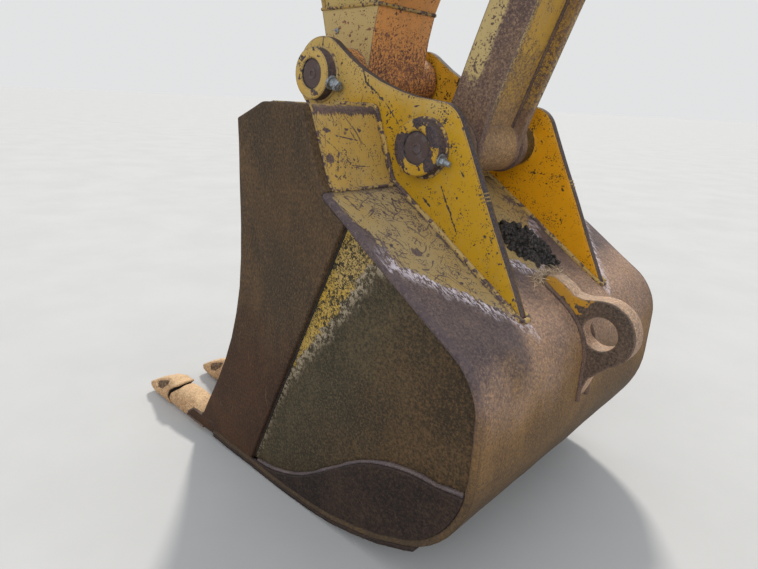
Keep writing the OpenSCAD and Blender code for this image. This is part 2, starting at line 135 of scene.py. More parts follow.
class Graph:
    """Adds and joins shader nodes in one node tree."""

    def __init__(self, tree: Tree) -> None:
        """Keeps the tree that the nodes go into."""
        self.tree = tree

    def add(self, kind: str, **settings: object) -> Node:
        """Adds a node.

        Args:
            kind: The node's type, such as ShaderNodeMath.
            settings: Properties to set on it.

        Returns:
            The new node.
        """
        node = self.tree.nodes.new(kind)
        for name, value in settings.items():
            setattr(node, name, value)
        return node

    def feed(self, socket: Socket, value: Value) -> None:
        """Joins a socket to another one, or sets its number or colour."""
        if isinstance(value, Socket):
            self.tree.links.new(value, socket)
        elif isinstance(value, tuple) and len(value) == 3 and socket.type == "RGBA":
            socket.default_value = (*value, 1.0)
        else:
            socket.default_value = value

    def set(self, node: Node, **inputs: Value) -> Node:
        """Feeds a node's inputs by name, in which an underscore stands for a space, and returns the node."""
        for name, value in inputs.items():
            self.feed(node.inputs[name.replace("_", " ")], value)
        return node

    def math(self, operation: str, a: Value, b: Value = 0.0) -> Socket:
        """Returns the result of a Math node on one or two values."""
        node = self.add("ShaderNodeMath", operation=operation)
        self.feed(node.inputs[0], a)
        self.feed(node.inputs[1], b)
        return node.outputs[0]

    def plus(self, a: Value, b: Value) -> Socket:
        """Returns the sum of two values."""
        return self.math("ADD", a, b)

    def minus(self, a: Value, b: Value) -> Socket:
        """Returns a less b."""
        return self.math("SUBTRACT", a, b)

    def chain(self, operation: str, *values: Value) -> Value:
        """Returns several values joined one after another by a Math operation."""
        return functools.reduce(lambda a, b: self.math(operation, a, b), values)

    def times(self, *values: Value) -> Value:
        """Returns the product of several values."""
        return self.chain("MULTIPLY", *values)

    def least(self, *values: Value) -> Value:
        """Returns the least of several values."""
        return self.chain("MINIMUM", *values)

    def most(self, *values: Value) -> Value:
        """Returns the greatest of several values."""
        return self.chain("MAXIMUM", *values)

    def swing(self, cloud: Value, reach: Value) -> Value:
        """Returns a cloudy value as a shift to both sides of 0, as wide as reach."""
        return self.times(self.minus(cloud, 0.5), reach)

    def near(self, value: Value, centre: float, reach: float) -> Socket:
        """Returns how deep a value lies in the band that reaches to both sides of a centre."""
        return self.minus(reach, self.math("ABSOLUTE", self.minus(value, centre)))

    def vector(self, operation: str, a: Value, b: Value = MIDDLE) -> Socket:
        """Returns the result of a Vector Math node: a number for a product or a length, else a vector."""
        node = self.add("ShaderNodeVectorMath", operation=operation)
        self.feed(node.inputs[0], a)
        self.feed(node.inputs[1], b)
        return node.outputs["Value" if operation in ("DOT_PRODUCT", "LENGTH") else "Vector"]

    def scaled(self, vector: Value, factor: Value) -> Socket:
        """Returns a vector times a number."""
        node = self.set(self.add("ShaderNodeVectorMath", operation="SCALE"), Scale=factor)
        self.feed(node.inputs[0], vector)
        return node.outputs["Vector"]

    def fit(self, value: Value, low: Value, high: Value, to_low: float = 0.0, to_high: float = 1.0) -> Socket:
        """Returns value mapped smoothly from low..high to to_low..to_high, and held at the ends."""
        node = self.add("ShaderNodeMapRange", interpolation_type="SMOOTHSTEP")
        self.set(node, Value=value, From_Min=low, From_Max=high, To_Min=to_low, To_Max=to_high)
        return node.outputs["Result"]

    def mix(self, factor: Value, a: Value, b: Value, blend: str = "MIX") -> Socket:
        """Returns two colours mixed by a factor."""
        node = self.set(self.add("ShaderNodeMix", data_type="RGBA", blend_type=blend), Factor=factor)
        self.feed(node.inputs[6], a)
        self.feed(node.inputs[7], b)
        return node.outputs[2]

    def noise(
        self, place: Value, scale: Value, detail: float = 4.0, rough: float = 0.6, bend: float = 0.0,
    ) -> Socket:
        """Returns a cloudy value between about 0.2 and 0.8 at a place."""
        node = self.add("ShaderNodeTexNoise")
        self.set(node, Vector=place, Scale=scale, Detail=detail, Roughness=rough, Distortion=bend)
        return node.outputs["Fac"]

    def stretched(self, place: Value, scale: Point, turn: Point = MIDDLE) -> Socket:
        """Returns the place turned and then scaled on each axis."""
        node = self.add("ShaderNodeMapping", vector_type="TEXTURE")
        self.set(node, Vector=place, Rotation=turn, Scale=tuple(1.0 / s for s in scale))
        return node.outputs["Vector"]

    def place(self) -> Socket:
        """Returns the surface's place on the resting object, in metres."""
        return self.add("ShaderNodeTexCoord").outputs["Object"]

    def along(self, place: Value, direction: Point, start: Point = MIDDLE) -> Socket:
        """Returns how far a place lies from start along a direction, in metres."""
        moved = self.vector("SUBTRACT", place, start)
        return self.vector("DOT_PRODUCT", moved, direction)

    def split(self, place: Value) -> tuple[Socket, Socket, Socket]:
        """Returns the three coordinates of a place."""
        node = self.add("ShaderNodeSeparateXYZ")
        self.feed(node.inputs[0], place)
        return node.outputs[0], node.outputs[1], node.outputs[2]

    def off_middle(self, place: Value) -> Socket:
        """Returns how far a place lies from the middle plane, in metres."""
        return self.math("ABSOLUTE", self.split(place)[1])

    def normal(self) -> Socket:
        """Returns the surface's normal."""
        return self.add("ShaderNodeNewGeometry").outputs["Normal"]

    def sideways(self) -> Socket:
        """Returns how far the surface faces left or right, from 0 to 1."""
        return self.math("ABSOLUTE", self.split(self.normal())[1])

    def use(self, group: Tree, output: str | None = None, **inputs: Value) -> Node | Socket:
        """Places a node group.

        Args:
            group: The node group.
            output: The name of the output to return, or None for the node itself.
            inputs: Values for its inputs, by name.

        Returns:
            The named output, or the node.
        """
        node = self.set(self.add("ShaderNodeGroup", node_tree=group), **inputs)
        return node.outputs[output] if output else node


def new_group(name: str, inputs: dict, outputs: dict) -> tuple[Graph, dict, Node]:
    """Starts a shader node group.

    Args:
        name: The group's name.
        inputs: The default of each input by name: a number, a colour, or None for a vector.
        outputs: Name and kind (Float, Vector or Color) of each output.

    Returns:
        The graph to build in, the inputs by name, and the output node.
    """
    tree = bpy.data.node_groups.new(name, "ShaderNodeTree")
    for label, default in inputs.items():
        kind = "Vector" if default is None else "Color" if isinstance(default, tuple) else "Float"
        socket = tree.interface.new_socket(label, in_out="INPUT", socket_type="NodeSocket" + kind)
        if default is not None:
            socket.default_value = (*default, 1.0) if kind == "Color" else default
    for label, kind in outputs.items():
        tree.interface.new_socket(label, in_out="OUTPUT", socket_type="NodeSocket" + kind)
    graph = Graph(tree)
    start = graph.add("NodeGroupInput")
    end = graph.add("NodeGroupOutput")
    return graph, {s.name: s for s in start.outputs}, end


class Wear:
    """The shader node groups that the finishes share, each built once."""

    def __init__(self) -> None:
        """Builds all the groups."""
        self.edges = self._edges()
        self.chips = self._chips()
        self.strokes = self._strokes()
        self.gouge = self._gouge()
        self.rust = self._rust()
        self.torn = self._torn()
        self.dust = self._dust()

    def _edges(self) -> Tree:
        """Returns the group that finds rubbed edges."""
        g, i, end = new_group(
            "rubbed_edges",
            dict(Place=None, Radius=0.012, Breakup=30.0, Reach=0.5), dict(Mask="Float", Normal="Vector"),
        )
        bevel = g.set(g.add("ShaderNodeBevel", samples=6), Radius=i["Radius"])
        bend = g.minus(1.0, g.vector("DOT_PRODUCT", bevel.outputs[0], g.normal()))
        cloud = g.noise(i["Place"], i["Breakup"], 6.0, 0.7)
        level = g.plus(g.fit(bend, 0.0, 0.20), g.swing(cloud, 1.6))
        low = g.minus(1.0, i["Reach"])
        band = g.times(g.fit(level, low, g.plus(low, 0.10)), g.fit(bend, 0.002, 0.03))
        g.set(end, Mask=band, Normal=bevel.outputs[0])
        return g.tree

    def _chips(self) -> Tree:
        """Returns the group of small ragged chips that come in crowds."""
        g, i, end = new_group(
            "paint_chips",
            dict(Place=None, Scale=60.0, Level=0.68, Crowd=0.6), dict(Mask="Float"),
        )
        shape = g.noise(i["Place"], i["Scale"], 2.5, 0.5, 0.3)
        crowd = g.noise(i["Place"], g.times(i["Scale"], 0.10), 3.0, 0.6)
        level = g.plus(shape, g.swing(crowd, i["Crowd"]))
        g.set(end, Mask=g.fit(level, i["Level"], g.plus(i["Level"], 0.018)))
        return g.tree

    def _strokes(self) -> Tree:
        """Returns the group of short scratches that run one way."""
        g, i, end = new_group(
            "strokes",
            dict(Place=None, Across=0.0, Along=0.0, Density=120.0, Stretch=16.0, Level=0.68),
            dict(Mask="Float"),
        )
        sway = g.swing(g.noise(i["Place"], 5.0, 2.0), 0.09)
        row = g.add("ShaderNodeCombineXYZ")
        g.feed(row.inputs[0], g.times(g.plus(i["Across"], sway), i["Density"]))
        g.feed(row.inputs[1], g.times(i["Along"], g.math("DIVIDE", i["Density"], i["Stretch"])))
        g.feed(row.inputs[2], g.times(i["Stretch"], 3.1))
        line = g.noise(row.outputs[0], 1.0, 1.5, 0.5)
        crowd = g.swing(g.noise(i["Place"], 7.0, 3.0, 0.6), 0.35)
        level = g.plus(line, crowd)
        g.set(end, Mask=g.fit(level, i["Level"], g.plus(i["Level"], 0.03)))
        return g.tree

    def _gouge(self) -> Tree:
        """Returns the group of one gouge from a start to a stop."""
        g, i, end = new_group(
            "gouge",
            dict(Place=None, Start=None, Stop=None, Width=0.003), dict(Mask="Float"),
        )
        run = g.vector("SUBTRACT", i["Stop"], i["Start"])
        shake = g.set(g.add("ShaderNodeTexNoise"), Vector=i["Place"], Scale=24.0)
        drift = g.scaled(g.vector("SUBTRACT", shake.outputs["Color"], (0.5, 0.5, 0.5)), 0.009)
        seen = g.vector("ADD", i["Place"], drift)
        off = g.vector("SUBTRACT", seen, i["Start"])
        across = g.vector("DOT_PRODUCT", off, run)
        share = g.add("ShaderNodeMath", operation="DIVIDE", use_clamp=True)
        g.feed(share.inputs[0], across)
        g.feed(share.inputs[1], g.vector("DOT_PRODUCT", run, run))
        gap = g.vector("SUBTRACT", off, g.scaled(run, share.outputs[0]))
        distance = g.vector("LENGTH", gap)
        width = g.times(i["Width"], g.fit(g.noise(i["Place"], 70.0, 4.0, 0.7), 0.38, 0.62, 0.30, 1.5))
        g.set(end, Mask=g.fit(distance, g.times(width, 0.6), width, 1.0, 0.0))
        return g.tree

    def _rust(self) -> Tree:
        """Returns the group of rust's colours and its pitted height."""
        g, i, end = new_group(
            "rust",
            dict(
                Place=None, Dark=(0.05, 0.035, 0.03), Mid=(0.10, 0.06, 0.035), Light=(0.22, 0.12, 0.06),
                Scale=1.0,
            ),
            dict(Color="Color", Height="Float"),
        )
        wide = g.noise(i["Place"], g.times(i["Scale"], 3.0), 6.0, 0.62, 0.4)
        fine = g.noise(i["Place"], g.times(i["Scale"], 75.0), 6.0, 0.72)
        grit = g.noise(i["Place"], g.times(i["Scale"], 115.0), 5.0, 0.85)
        base = g.mix(g.fit(wide, 0.36, 0.64), i["Dark"], i["Mid"])
        spots = g.fit(g.plus(fine, g.swing(wide, 0.5)), 0.50, 0.70)
        tinted = g.mix(g.times(spots, 0.55), base, i["Light"])
        speckled = g.mix(g.fit(grit, 0.515, 0.60, 0.0, 0.70), tinted, i["Light"])
        pits = g.fit(grit, 0.40, 0.485, 0.75, 0.0)
        g.set(end, Color=g.mix(pits, speckled, g.mix(1.0, i["Dark"], (0.45, 0.45, 0.45), "MULTIPLY")))
        g.set(end, Height=g.plus(g.times(fine, 0.6), g.times(grit, 0.4)))
        return g.tree

    def _torn(self) -> Tree:
        """Returns the group that turns a distance into a torn boundary with a pale fringe beyond it."""
        g, i, end = new_group(
            "torn_boundary",
            dict(Distance=0.0, Place=None, Tear=0.08, Scale=9.0, Fringe=0.03),
            dict(Mask="Float", Fringe="Float"),
        )
        cloud = g.noise(i["Place"], i["Scale"], 9.0, 0.74, 0.6)
        moved = g.plus(i["Distance"], g.swing(cloud, g.times(i["Tear"], 4.0)))
        mask = g.fit(moved, 0.0, 0.006)
        outside = g.fit(moved, g.times(i["Fringe"], -1.0), g.times(i["Fringe"], -0.15))
        broken = g.fit(g.noise(i["Place"], 62.0, 7.0, 0.78, 0.4), 0.485, 0.535)
        g.set(end, Mask=mask, Fringe=g.times(outside, g.minus(1.0, mask), broken))
        return g.tree

    def _dust(self) -> Tree:
        """Returns the group of dust that settles on what faces up."""
        g, i, end = new_group(
            "settled_dust", dict(Place=None, Amount=0.5, Scale=6.0), dict(Mask="Float"),
        )
        facing = g.along(g.normal(), UP)
        cloud = g.noise(i["Place"], i["Scale"], 6.0, 0.7)
        level = g.times(g.fit(facing, 0.1, 1.0), g.fit(cloud, 0.25, 0.65))
        g.set(end, Mask=g.times(level, i["Amount"]))
        return g.tree


@functools.cache
def wear() -> Wear:
    """Returns the shared node groups, which are built at the first call."""
    return Wear()


Loss = Callable[[Graph, Value], Value]
Kept = tuple[Value, Value | None]
Keep = Callable[[Graph, Value], Kept]
Stroke = tuple[float, float, float, float]
Line = tuple[Point, Point, float]


def new_material(name: str) -> tuple[Material, Graph, Node]:
    """Returns a new material, its graph and its Principled shader."""
    material = bpy.data.materials.new(name)
    material.use_nodes = True
    graph = Graph(material.node_tree)
    return material, graph, material.node_tree.nodes["Principled BSDF"]


def add_bump(
    g: Graph, shader: Node, height: Value, strength: float, distance: float, normal: Value | None = None,
) -> None:
    """Feeds the shader's normal from a bump."""
    bump = g.set(g.add("ShaderNodeBump"), Strength=strength, Distance=distance, Height=height)
    if normal is not None:
        g.set(bump, Normal=normal)
    g.set(shader, Normal=bump.outputs[0])


def torn(
    g: Graph, place: Value, distance: Value, tear: float, scale: float, fringe: float = 0.02,
) -> tuple[Socket, Socket]:
    """Returns the torn mask of where distance is above 0, and the pale fringe beyond it."""
    node = g.use(wear().torn, Distance=distance, Place=place, Tear=tear, Scale=scale, Fringe=fringe)
    return node.outputs["Mask"], node.outputs["Fringe"]


def from_axis(g: Graph, place: Value, pin: Flat) -> Socket:
    """Returns how far a place lies from a pin's axis."""
    moved = g.vector("SUBTRACT", place, (pin[0], 0.0, pin[1]))
    return g.vector("LENGTH", g.vector("MULTIPLY", moved, (1.0, 0.0, 1.0)))


def blot(g: Graph, place: Value, centre: Point, radius: float, scale: float = 45.0) -> Socket:
    """Returns the mask of one rubbed blot round a centre."""
    reach = g.minus(radius, g.vector("LENGTH", g.vector("SUBTRACT", place, centre)))
    return torn(g, place, reach, radius * 0.55, scale)[0]


@dataclass(frozen=True)
class Coat:
    """The paint that is left on a steel surface."""

    fresh: Colour
    faded: Colour
    chips: tuple[Flat, ...] = ((30.0, 0.715), (80.0, 0.70), (190.0, 0.69))
    primer: Colour = (0.50, 0.43, 0.37)
    grime: Colour = (0.17, 0.12, 0.07)
    dirt: float = 0.30
    keep: Keep | None = None
    lost: Loss | None = None
    turn: Loss | None = None


@dataclass(frozen=True)
class SteelFinish:
    """Weathered steel: rust, rubbed edges and scratches, with what is left of its coat."""

    name: str
    dark: Colour
    mid: Colour
    light: Colour
    coat: Coat | None = None
    scale: float = 1.0
    edge: Colour = (0.10, 0.078, 0.080)
    edge_radius: float = 0.012
    edge_reach: float = 0.45
    edge_share: float = 0.75
    roughness: float = 0.72
    painted_roughness: float = 0.52
    specular: float = 0.22
    streak: float = 0.20
    plane: tuple[Point, Point] = (AHEAD, UP)
    strokes: tuple[Stroke, ...] = ()
    shine: float = 0.35
    gouges: tuple[Line, ...] = ()
    stretch: Point = (1.0, 1.0, 1.0)
    dust: float = 0.25
    dust_colour: Colour = (0.30, 0.22, 0.14)
    tint: Colour = (1.0, 1.0, 1.0)
    zone: Loss | None = None
    tone_and_shade_tint: Colour = (1.0, 1.0, 1.0)
    tone_and_shade_zone: Loss | None = None

    def build(self) -> Material:
        """Returns the finish as a material."""
        material, g, shader = new_material(self.name)
        place = g.place()
        grain = g.stretched(place, self.stretch)
        rust = g.use(
            wear().rust, Place=grain, Dark=self.dark, Mid=self.mid, Light=self.light, Scale=self.scale,
        )
        colour, height = rust.outputs["Color"], rust.outputs["Height"]
        runs = g.fit(g.noise(g.stretched(place, (34.0, 34.0, 3.0)), 1.0, 5.0, 0.7), 0.5, 0.72)
        colour = g.mix(g.times(runs, self.streak), colour, self.light)
        # tints a zone: on the heel and the eye's rim it also paints sunlight, on the bar's lower half shade
        if self.zone is not None:
            colour = g.mix(self.zone(g, place), colour, g.mix(1.0, colour, self.tint, "MULTIPLY"))
        edges = g.use(wear().edges, Place=place, Radius=self.edge_radius, Breakup=24.0, Reach=self.edge_reach)
        rubbed = edges.outputs["Mask"]
        colour = g.mix(g.times(rubbed, self.edge_share), colour, self.edge)
        lines = self._lines(g, place)
        colour = g.mix(g.times(lines, self.shine), colour, self.light)
        bare: Value = 1.0
        if self.coat is not None:
            colour, bare = self._painted(g, place, colour, g.most(lines, rubbed))
            height = g.plus(g.times(height, 0.5), g.times(bare, -0.8))
        # tints a second zone, which paints shade: on the ears' inner faces and on the skin's underside, with
        # the rust's own tone
        if self.tone_and_shade_zone is not None:
            colour = g.mix(self.tone_and_shade_zone(g, place), colour, g.mix(1.0, colour, self.tone_and_shade_tint, "MULTIPLY"))
        dust = g.use(wear().dust, "Mask", Place=place, Amount=self.dust, Scale=9.0)
        colour = g.mix(dust, colour, self.dust_colour)
        g.set(shader, Base_Color=colour)
        pitted = g.fit(rust.outputs["Height"], 0.3, 0.7, self.roughness - 0.14, self.roughness + 0.12)
        if self.coat is not None:
            pitted = g.plus(g.times(bare, g.minus(pitted, self.painted_roughness)), self.painted_roughness)
        g.set(shader, Roughness=pitted, Specular_IOR_Level=self.specular)
        add_bump(g, shader, height, 0.5, 0.003, edges.outputs["Normal"])
        return material

    def _lines(self, g: Graph, place: Socket) -> Value:
        """Returns the mask of all the scratches and gouges."""
        first, second = Vector(self.plane[0]), Vector(self.plane[1])
        masks: list[Value] = [0.0]
        for angle, density, stretch, level in self.strokes:
            turn = math.radians(angle)
            across = g.along(place, tuple(first * math.cos(turn) + second * math.sin(turn)))
            along = g.along(place, tuple(second * math.cos(turn) - first * math.sin(turn)))
            masks.append(g.use(
                wear().strokes, "Mask", Place=place, Across=across, Along=along, Density=density,
                Stretch=stretch, Level=level,
            ))
        for start, stop, width in self.gouges:
            masks.append(g.use(wear().gouge, "Mask", Place=place, Start=start, Stop=stop, Width=width))
        return g.most(*masks)

    def _painted(self, g: Graph, place: Socket, steel: Value, worn: Value) -> tuple:
        """Returns the colour with the coat on it, and where the steel is bare."""
        coat = self.coat
        chips = [
            g.use(wear().chips, "Mask", Place=place, Scale=scale, Level=level) for scale, level in coat.chips
        ]
        bare = g.most(worn, *chips)
        if coat.lost is not None:
            bare = g.most(bare, coat.lost(g, place))
        fringe = None
        if coat.keep is not None:
            kept, fringe = coat.keep(g, place)
            bare = g.most(bare, g.minus(1.0, kept))
        cloud = g.noise(place, 3.2, 6.0, 0.66, 0.5)
        if coat.turn is not None:
            cloud = g.plus(cloud, coat.turn(g, place))
        mottled = g.noise(place, 42.0, 5.0, 0.72)
        paint = g.mix(g.fit(cloud, 0.35, 0.65), coat.fresh, coat.faded)
        paint = g.mix(g.fit(mottled, 0.45, 0.75, 0.0, 0.30), paint, coat.faded)
        grime = g.fit(g.noise(g.stretched(place, (11.0, 11.0, 3.5)), 1.0, 7.0, 0.68), 0.46, 0.76)
        paint = g.mix(g.times(grime, coat.dirt), paint, coat.grime)
        colour = g.mix(bare, paint, steel)
        if fringe is not None:
            colour = g.mix(fringe, colour, coat.primer)
        return colour, bare


@dataclass(frozen=True)
class MetalFinish:
    """Bare or plated metal with fine marks and patches of dirt."""

    name: str
    colour: Colour
    stain: Colour
    metallic: float = 0.8
    roughness: float = 0.4
    stain_share: float = 0.5
    bump: float = 0.3

    def build(self) -> Material:
        """Returns the finish as a material."""
        material, g, shader = new_material(self.name)
        place = g.place()
        cloud = g.noise(place, 24.0, 6.0, 0.65, 0.3)
        fine = g.noise(place, 240.0, 4.0, 0.7)
        shifted = g.plus(cloud, g.swing(fine, 0.4))
        stained = g.fit(shifted, 0.70 - 0.4 * self.stain_share, 0.80 - 0.4 * self.stain_share)
        g.set(shader, Base_Color=g.mix(stained, self.colour, self.stain))
        g.set(shader, Metallic=g.fit(stained, 0.0, 1.0, self.metallic, 0.05))
        g.set(shader, Roughness=g.fit(stained, 0.0, 1.0, self.roughness, 0.8))
        add_bump(g, shader, g.plus(g.times(fine, 0.5), g.times(stained, 0.5)), self.bump, 0.0012)
        return material


@dataclass(frozen=True)
class SoftFinish:
    """Rubber, dirt, dry grass or painted shade: two colours, mottled, with a rough surface."""

    name: str
    dark: Colour
    light: Colour
    scale: float = 60.0
    roughness: float = 0.85
    bump: float = 0.4

    def build(self) -> Material:
        """Returns the finish as a material."""
        material, g, shader = new_material(self.name)
        place = g.place()
        cloud = g.noise(place, self.scale, 6.0, 0.7, 0.4)
        g.set(shader, Base_Color=g.mix(g.fit(cloud, 0.4, 0.62), self.dark, self.light))
        g.set(shader, Roughness=g.fit(cloud, 0.3, 0.7, self.roughness, min(1.0, self.roughness + 0.12)))
        add_bump(g, shader, cloud, self.bump, 0.003)
        return material


# Directions and corners of the bucket and the link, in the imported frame
BEND: Point = (0.5194, 0.0, -3.7499)
DOWN_BACK: Point = (0.8358, 0.0, -0.5490)
OUT_BACK: Point = (0.5490, 0.0, 0.8358)
DOWN_HINGE: Point = (0.3714, 0.0, -0.9285)
HINGE_TOP: Point = (0.4083, 0.0, -3.5040)
VERTEX: Point = (0.6239, 0.0, -3.8185)
DOWN_BAR: Point = (-0.4287, 0.0, -0.9034)
OFF_BAR: Point = (0.9034, 0.0, -0.4287)
HINGE_PLANE: tuple[Point, Point] = (ACROSS, DOWN_HINGE)
BACK_PLANE: tuple[Point, Point] = (ACROSS, DOWN_BACK)
LINK_ACROSS: Point = (0.9367, 0.0, -0.3502)
LINK_ALONG: Point = (0.3502, 0.0, 0.9367)

# Rubbed blots: centre, radius and, for the back, how fine their edge is
EAR_BLOTS = (((0.905, -0.324, -3.868), 0.009), ((0.655, -0.324, -3.79), 0.008), ((0.86, 0.324, -3.74), 0.012))
HINGE_BLOTS = (((0.468, -0.602, -3.653), 0.020), ((0.462, 0.45, -3.64), 0.024))
BACK_BLOTS = (((0.776, -0.503, -3.918), 0.022, 50.0), ((0.60, 0.47, -3.80), 0.022, 30.0))


def kept_on_back(g: Graph, place: Value) -> Kept:
    """Returns where the sloping back keeps its paint, and the primer that shows beyond it."""
    down = g.along(place, DOWN_BACK, BEND)
    off = g.off_middle(place)
    low = g.minus(g.minus(0.96, off), g.fit(off, 0.283, 0.287, 0.44, 0.0))
    facing = g.along(g.normal(), OUT_BACK)
    side = g.minus(g.fit(down, 0.0, 0.30, 0.662, 0.618), off)
    streaked = g.stretched(place, (0.7, 1.7, 0.7), (0.0, 0.58, 0.0))
    mask, fringe = torn(g, streaked, g.least(g.minus(low, down), side), 0.048, 15.0, 0.085)
    here = g.fit(facing, 0.80, 0.92)
    return g.times(mask, here), g.times(fringe, g.fit(down, 0.22, 0.36), here)


def heel_rub_and_painted_sun(g: Graph, place: Value) -> Socket:
    """Returns where the heel turns a pale pink tan: rubbed steel with painted sunlight, all across, and
    higher up beyond the near ear, out of its painted shadow.
    """
    down = g.along(place, DOWN_BACK, BEND)
    cloud = g.swing(g.noise(place, 4.0, 6.0, 0.65), 0.4)
    side = g.fit(g.split(place)[1], -0.42, -0.28, 0.24, 0.0)
    level = g.fit(g.minus(g.plus(down, cloud), side), 0.44, 0.60)
    return g.times(level, g.fit(g.split(place)[2], -4.70, -4.25))


def lower_rust_and_painted_shade(g: Graph, place: Value) -> Socket:
    """Returns where the skin turns darker and olive brown below the heel: olive-brown rust, with painted
    shade on the unlit underside.
    """
    cloud = g.swing(g.noise(place, 5.0, 6.0, 0.7), 0.5)
    return g.fit(g.plus(g.split(place)[2], cloud), -4.45, -4.12, 1.0, 0.0)


def kept_on_panel(g: Graph, place: Value) -> Kept:
    """Returns where the side panel keeps its paint: in its upper corner and along the side bar."""
    off_bar = g.along(place, OFF_BAR, VERTEX)
    down_bar = g.along(place, DOWN_BAR, VERTEX)
    below_back = g.times(g.along(place, OUT_BACK, VERTEX), -1.0)
    along_back = g.along(place, DOWN_BACK, VERTEX)
    by_bar = g.minus(g.fit(down_bar, 0.0, 0.95, 0.135, -0.03), off_bar)
    by_back = g.minus(g.fit(along_back, 0.0, 0.36, 0.105, -0.04), below_back)
    mask, fringe = torn(g, place, g.most(by_bar, by_back), 0.030, 17.0, 0.06)
    thin = g.fit(g.noise(place, 85.0, 6.0, 0.8), 0.40, 0.50)
    return g.times(mask, thin), g.times(fringe, 0.75)


def ruddy_zone(g: Graph, place: Value) -> Socket:
    """Returns where the side panel turns redder: towards the heel."""
    low = g.along(place, DOWN_BACK, VERTEX)
    return g.fit(g.plus(low, g.times(g.noise(place, 5.0, 6.0, 0.7), 0.5)), 0.45, 0.85)


def kept_on_eye(g: Graph, place: Value) -> Kept:
    """Returns where the lifting eye keeps its paint: on its faces next to the bucket."""
    mask, _ = torn(g, place, g.near(g.along(place, DOWN_BACK, BEND), 0.545, 0.190), 0.02, 20.0, 0.01)
    return g.times(mask, g.fit(g.sideways(), 0.6, 0.9)), None


def low_rust_and_painted_shade(g: Graph, place: Value) -> Socket:
    """Returns where the side bars turn darker and redder in their lower half: redder rust, with painted shade
    near the ground.
    """
    cloud = g.swing(g.noise(place, 6.0, 6.0, 0.7), 0.6)
    return g.fit(g.plus(g.split(place)[2], cloud), -4.55, -4.10, 1.0, 0.0)


def inner_face_painted_shade(g: Graph, place: Value) -> Socket:
    """Returns the ears' inner faces, whose paint is made a deeper orange to paint the shade and bounce light
    between the ears.
    """
    return g.fit(g.off_middle(place), 0.290, 0.300, 1.0, 0.0)


def plate_zone(g: Graph, place: Value) -> Socket:
    """Returns the link's side plates, whose steel is more purple than its web's."""
    return g.fit(g.off_middle(place), 0.112, 0.120)


def rim_wear_and_painted_sun(g: Graph, _: Value) -> Socket:
    """Returns the rim and hole of a plate that stands across the width, which are lightened for their wear
    and as painted sunlight.
    """
    return g.fit(g.sideways(), 0.35, 0.75, 1.0, 0.0)


def lost_on_ear(g: Graph, place: Value) -> Value:
    """Returns where the ears have lost their paint: on their edges, and in patches on the collars."""
    off = g.off_middle(place)
    patches = g.noise(place, 17.0, 5.0, 0.6, 0.5)
    ragged = g.swing(g.noise(place, 30.0, 6.0, 0.75), 0.5)
    masks = [g.fit(g.plus(g.sideways(), ragged), 0.42, 0.72, 1.0, 0.0)]
    for pin, level in ((BUCKET_PIN, 0.60), (LINK_PIN, 0.505)):
        ring = g.fit(from_axis(g, place, pin), 0.098, 0.106, 1.0, 0.0)
        outer = g.fit(off, 0.328, 0.334)
        masks.append(g.times(ring, outer, g.fit(patches, level, level + 0.015)))
    masks += [blot(g, place, centre, radius) for centre, radius in EAR_BLOTS]
    return g.most(*masks)


def ear_turn(g: Graph, place: Value) -> Socket:
    """Returns how the ears' paint fades towards their tops."""
    return g.times(g.along(place, UP, (0.0, 0.0, -3.52)), 0.75)


def lost_on_hinge(g: Graph, place: Value) -> Value:
    """Returns where the hinge plate has lost its paint: at its top and sides, by the ears and in blots."""
    off = g.off_middle(place)
    down = g.along(place, DOWN_HINGE, HINGE_TOP)
    streaked = g.stretched(place, (1.0, 2.6, 0.7))
    top = torn(g, streaked, g.near(down, -0.004, 0.020), 0.020, 30.0)[0]
    side = torn(g, place, g.minus(off, 0.625), 0.010, 30.0)[0]
    foot = torn(g, place, g.near(off, 0.340, 0.005), 0.012, 40.0)[0]
    return g.most(top, side, foot, *(blot(g, place, centre, radius) for centre, radius in HINGE_BLOTS))


def lost_on_back(g: Graph, place: Value) -> Value:
    """Returns the blots and the chipped lines along the ears on the sloping back."""
    foot = torn(g, place, g.near(g.off_middle(place), 0.343, 0.008), 0.018, 34.0)[0]
    return g.most(foot, *(blot(g, place, *spot) for spot in BACK_BLOTS))


def lost_on_nose(g: Graph, place: Value) -> Value:
    """Returns where the stick's end has lost its paint: mostly on its front, more towards the bucket pin."""
    share = g.fit(g.split(place)[2], -3.36, -3.04, 0.465, 0.640)
    front = g.fit(g.noise(place, 105.0, 6.0, 0.78), share, g.plus(share, 0.04))
    return g.times(front, g.fit(g.sideways(), 0.5, 0.8, 1.0, 0.0))


def nose_turn(g: Graph, _: Value) -> Socket:
    """Returns where the stick's end is beige rather than orange: on its sides."""
    return g.fit(g.sideways(), 0.5, 0.8, -0.6, 0.8)


def kept_on_link(g: Graph, place: Value) -> Kept:
    """Returns where the link keeps its paint: on its web and on the rear half of its sides."""
    off = g.off_middle(place)
    foot = (LINK_PIN[0], 0.0, LINK_PIN[1])
    across = g.along(place, LINK_ACROSS, foot)
    along = g.along(place, LINK_ALONG, foot)
    web, _ = torn(g, place, g.minus(0.112, off), 0.016, 20.0, 0.008)
    rear = g.least(g.times(across, -1.0), g.times(g.minus(along, 0.20), 0.3))
    side, fringe = torn(g, place, g.minus(rear, 0.008), 0.012, 22.0, 0.010)
    outer = g.fit(off, 0.1492, 0.1496)
    height, _ = torn(g, place, g.times(g.minus(along, 0.36), 0.30), 0.040, 26.0)
    fine = g.fit(g.noise(place, 75.0, 6.0, 0.78), 0.465, 0.515)
    mottle = g.times(fine, g.fit(along, 0.12, 0.24), g.fit(off, 0.147, 0.149, 0.8, 0.0))
    return g.most(g.times(web, height), mottle, g.times(side, outer)), g.times(fringe, outer, 0.5)


def link_turn(g: Graph, place: Value) -> Socket:
    """Returns where the link's paint is beige: on its sides."""
    return g.fit(g.off_middle(place), 0.13, 0.145, -0.5, 0.8)


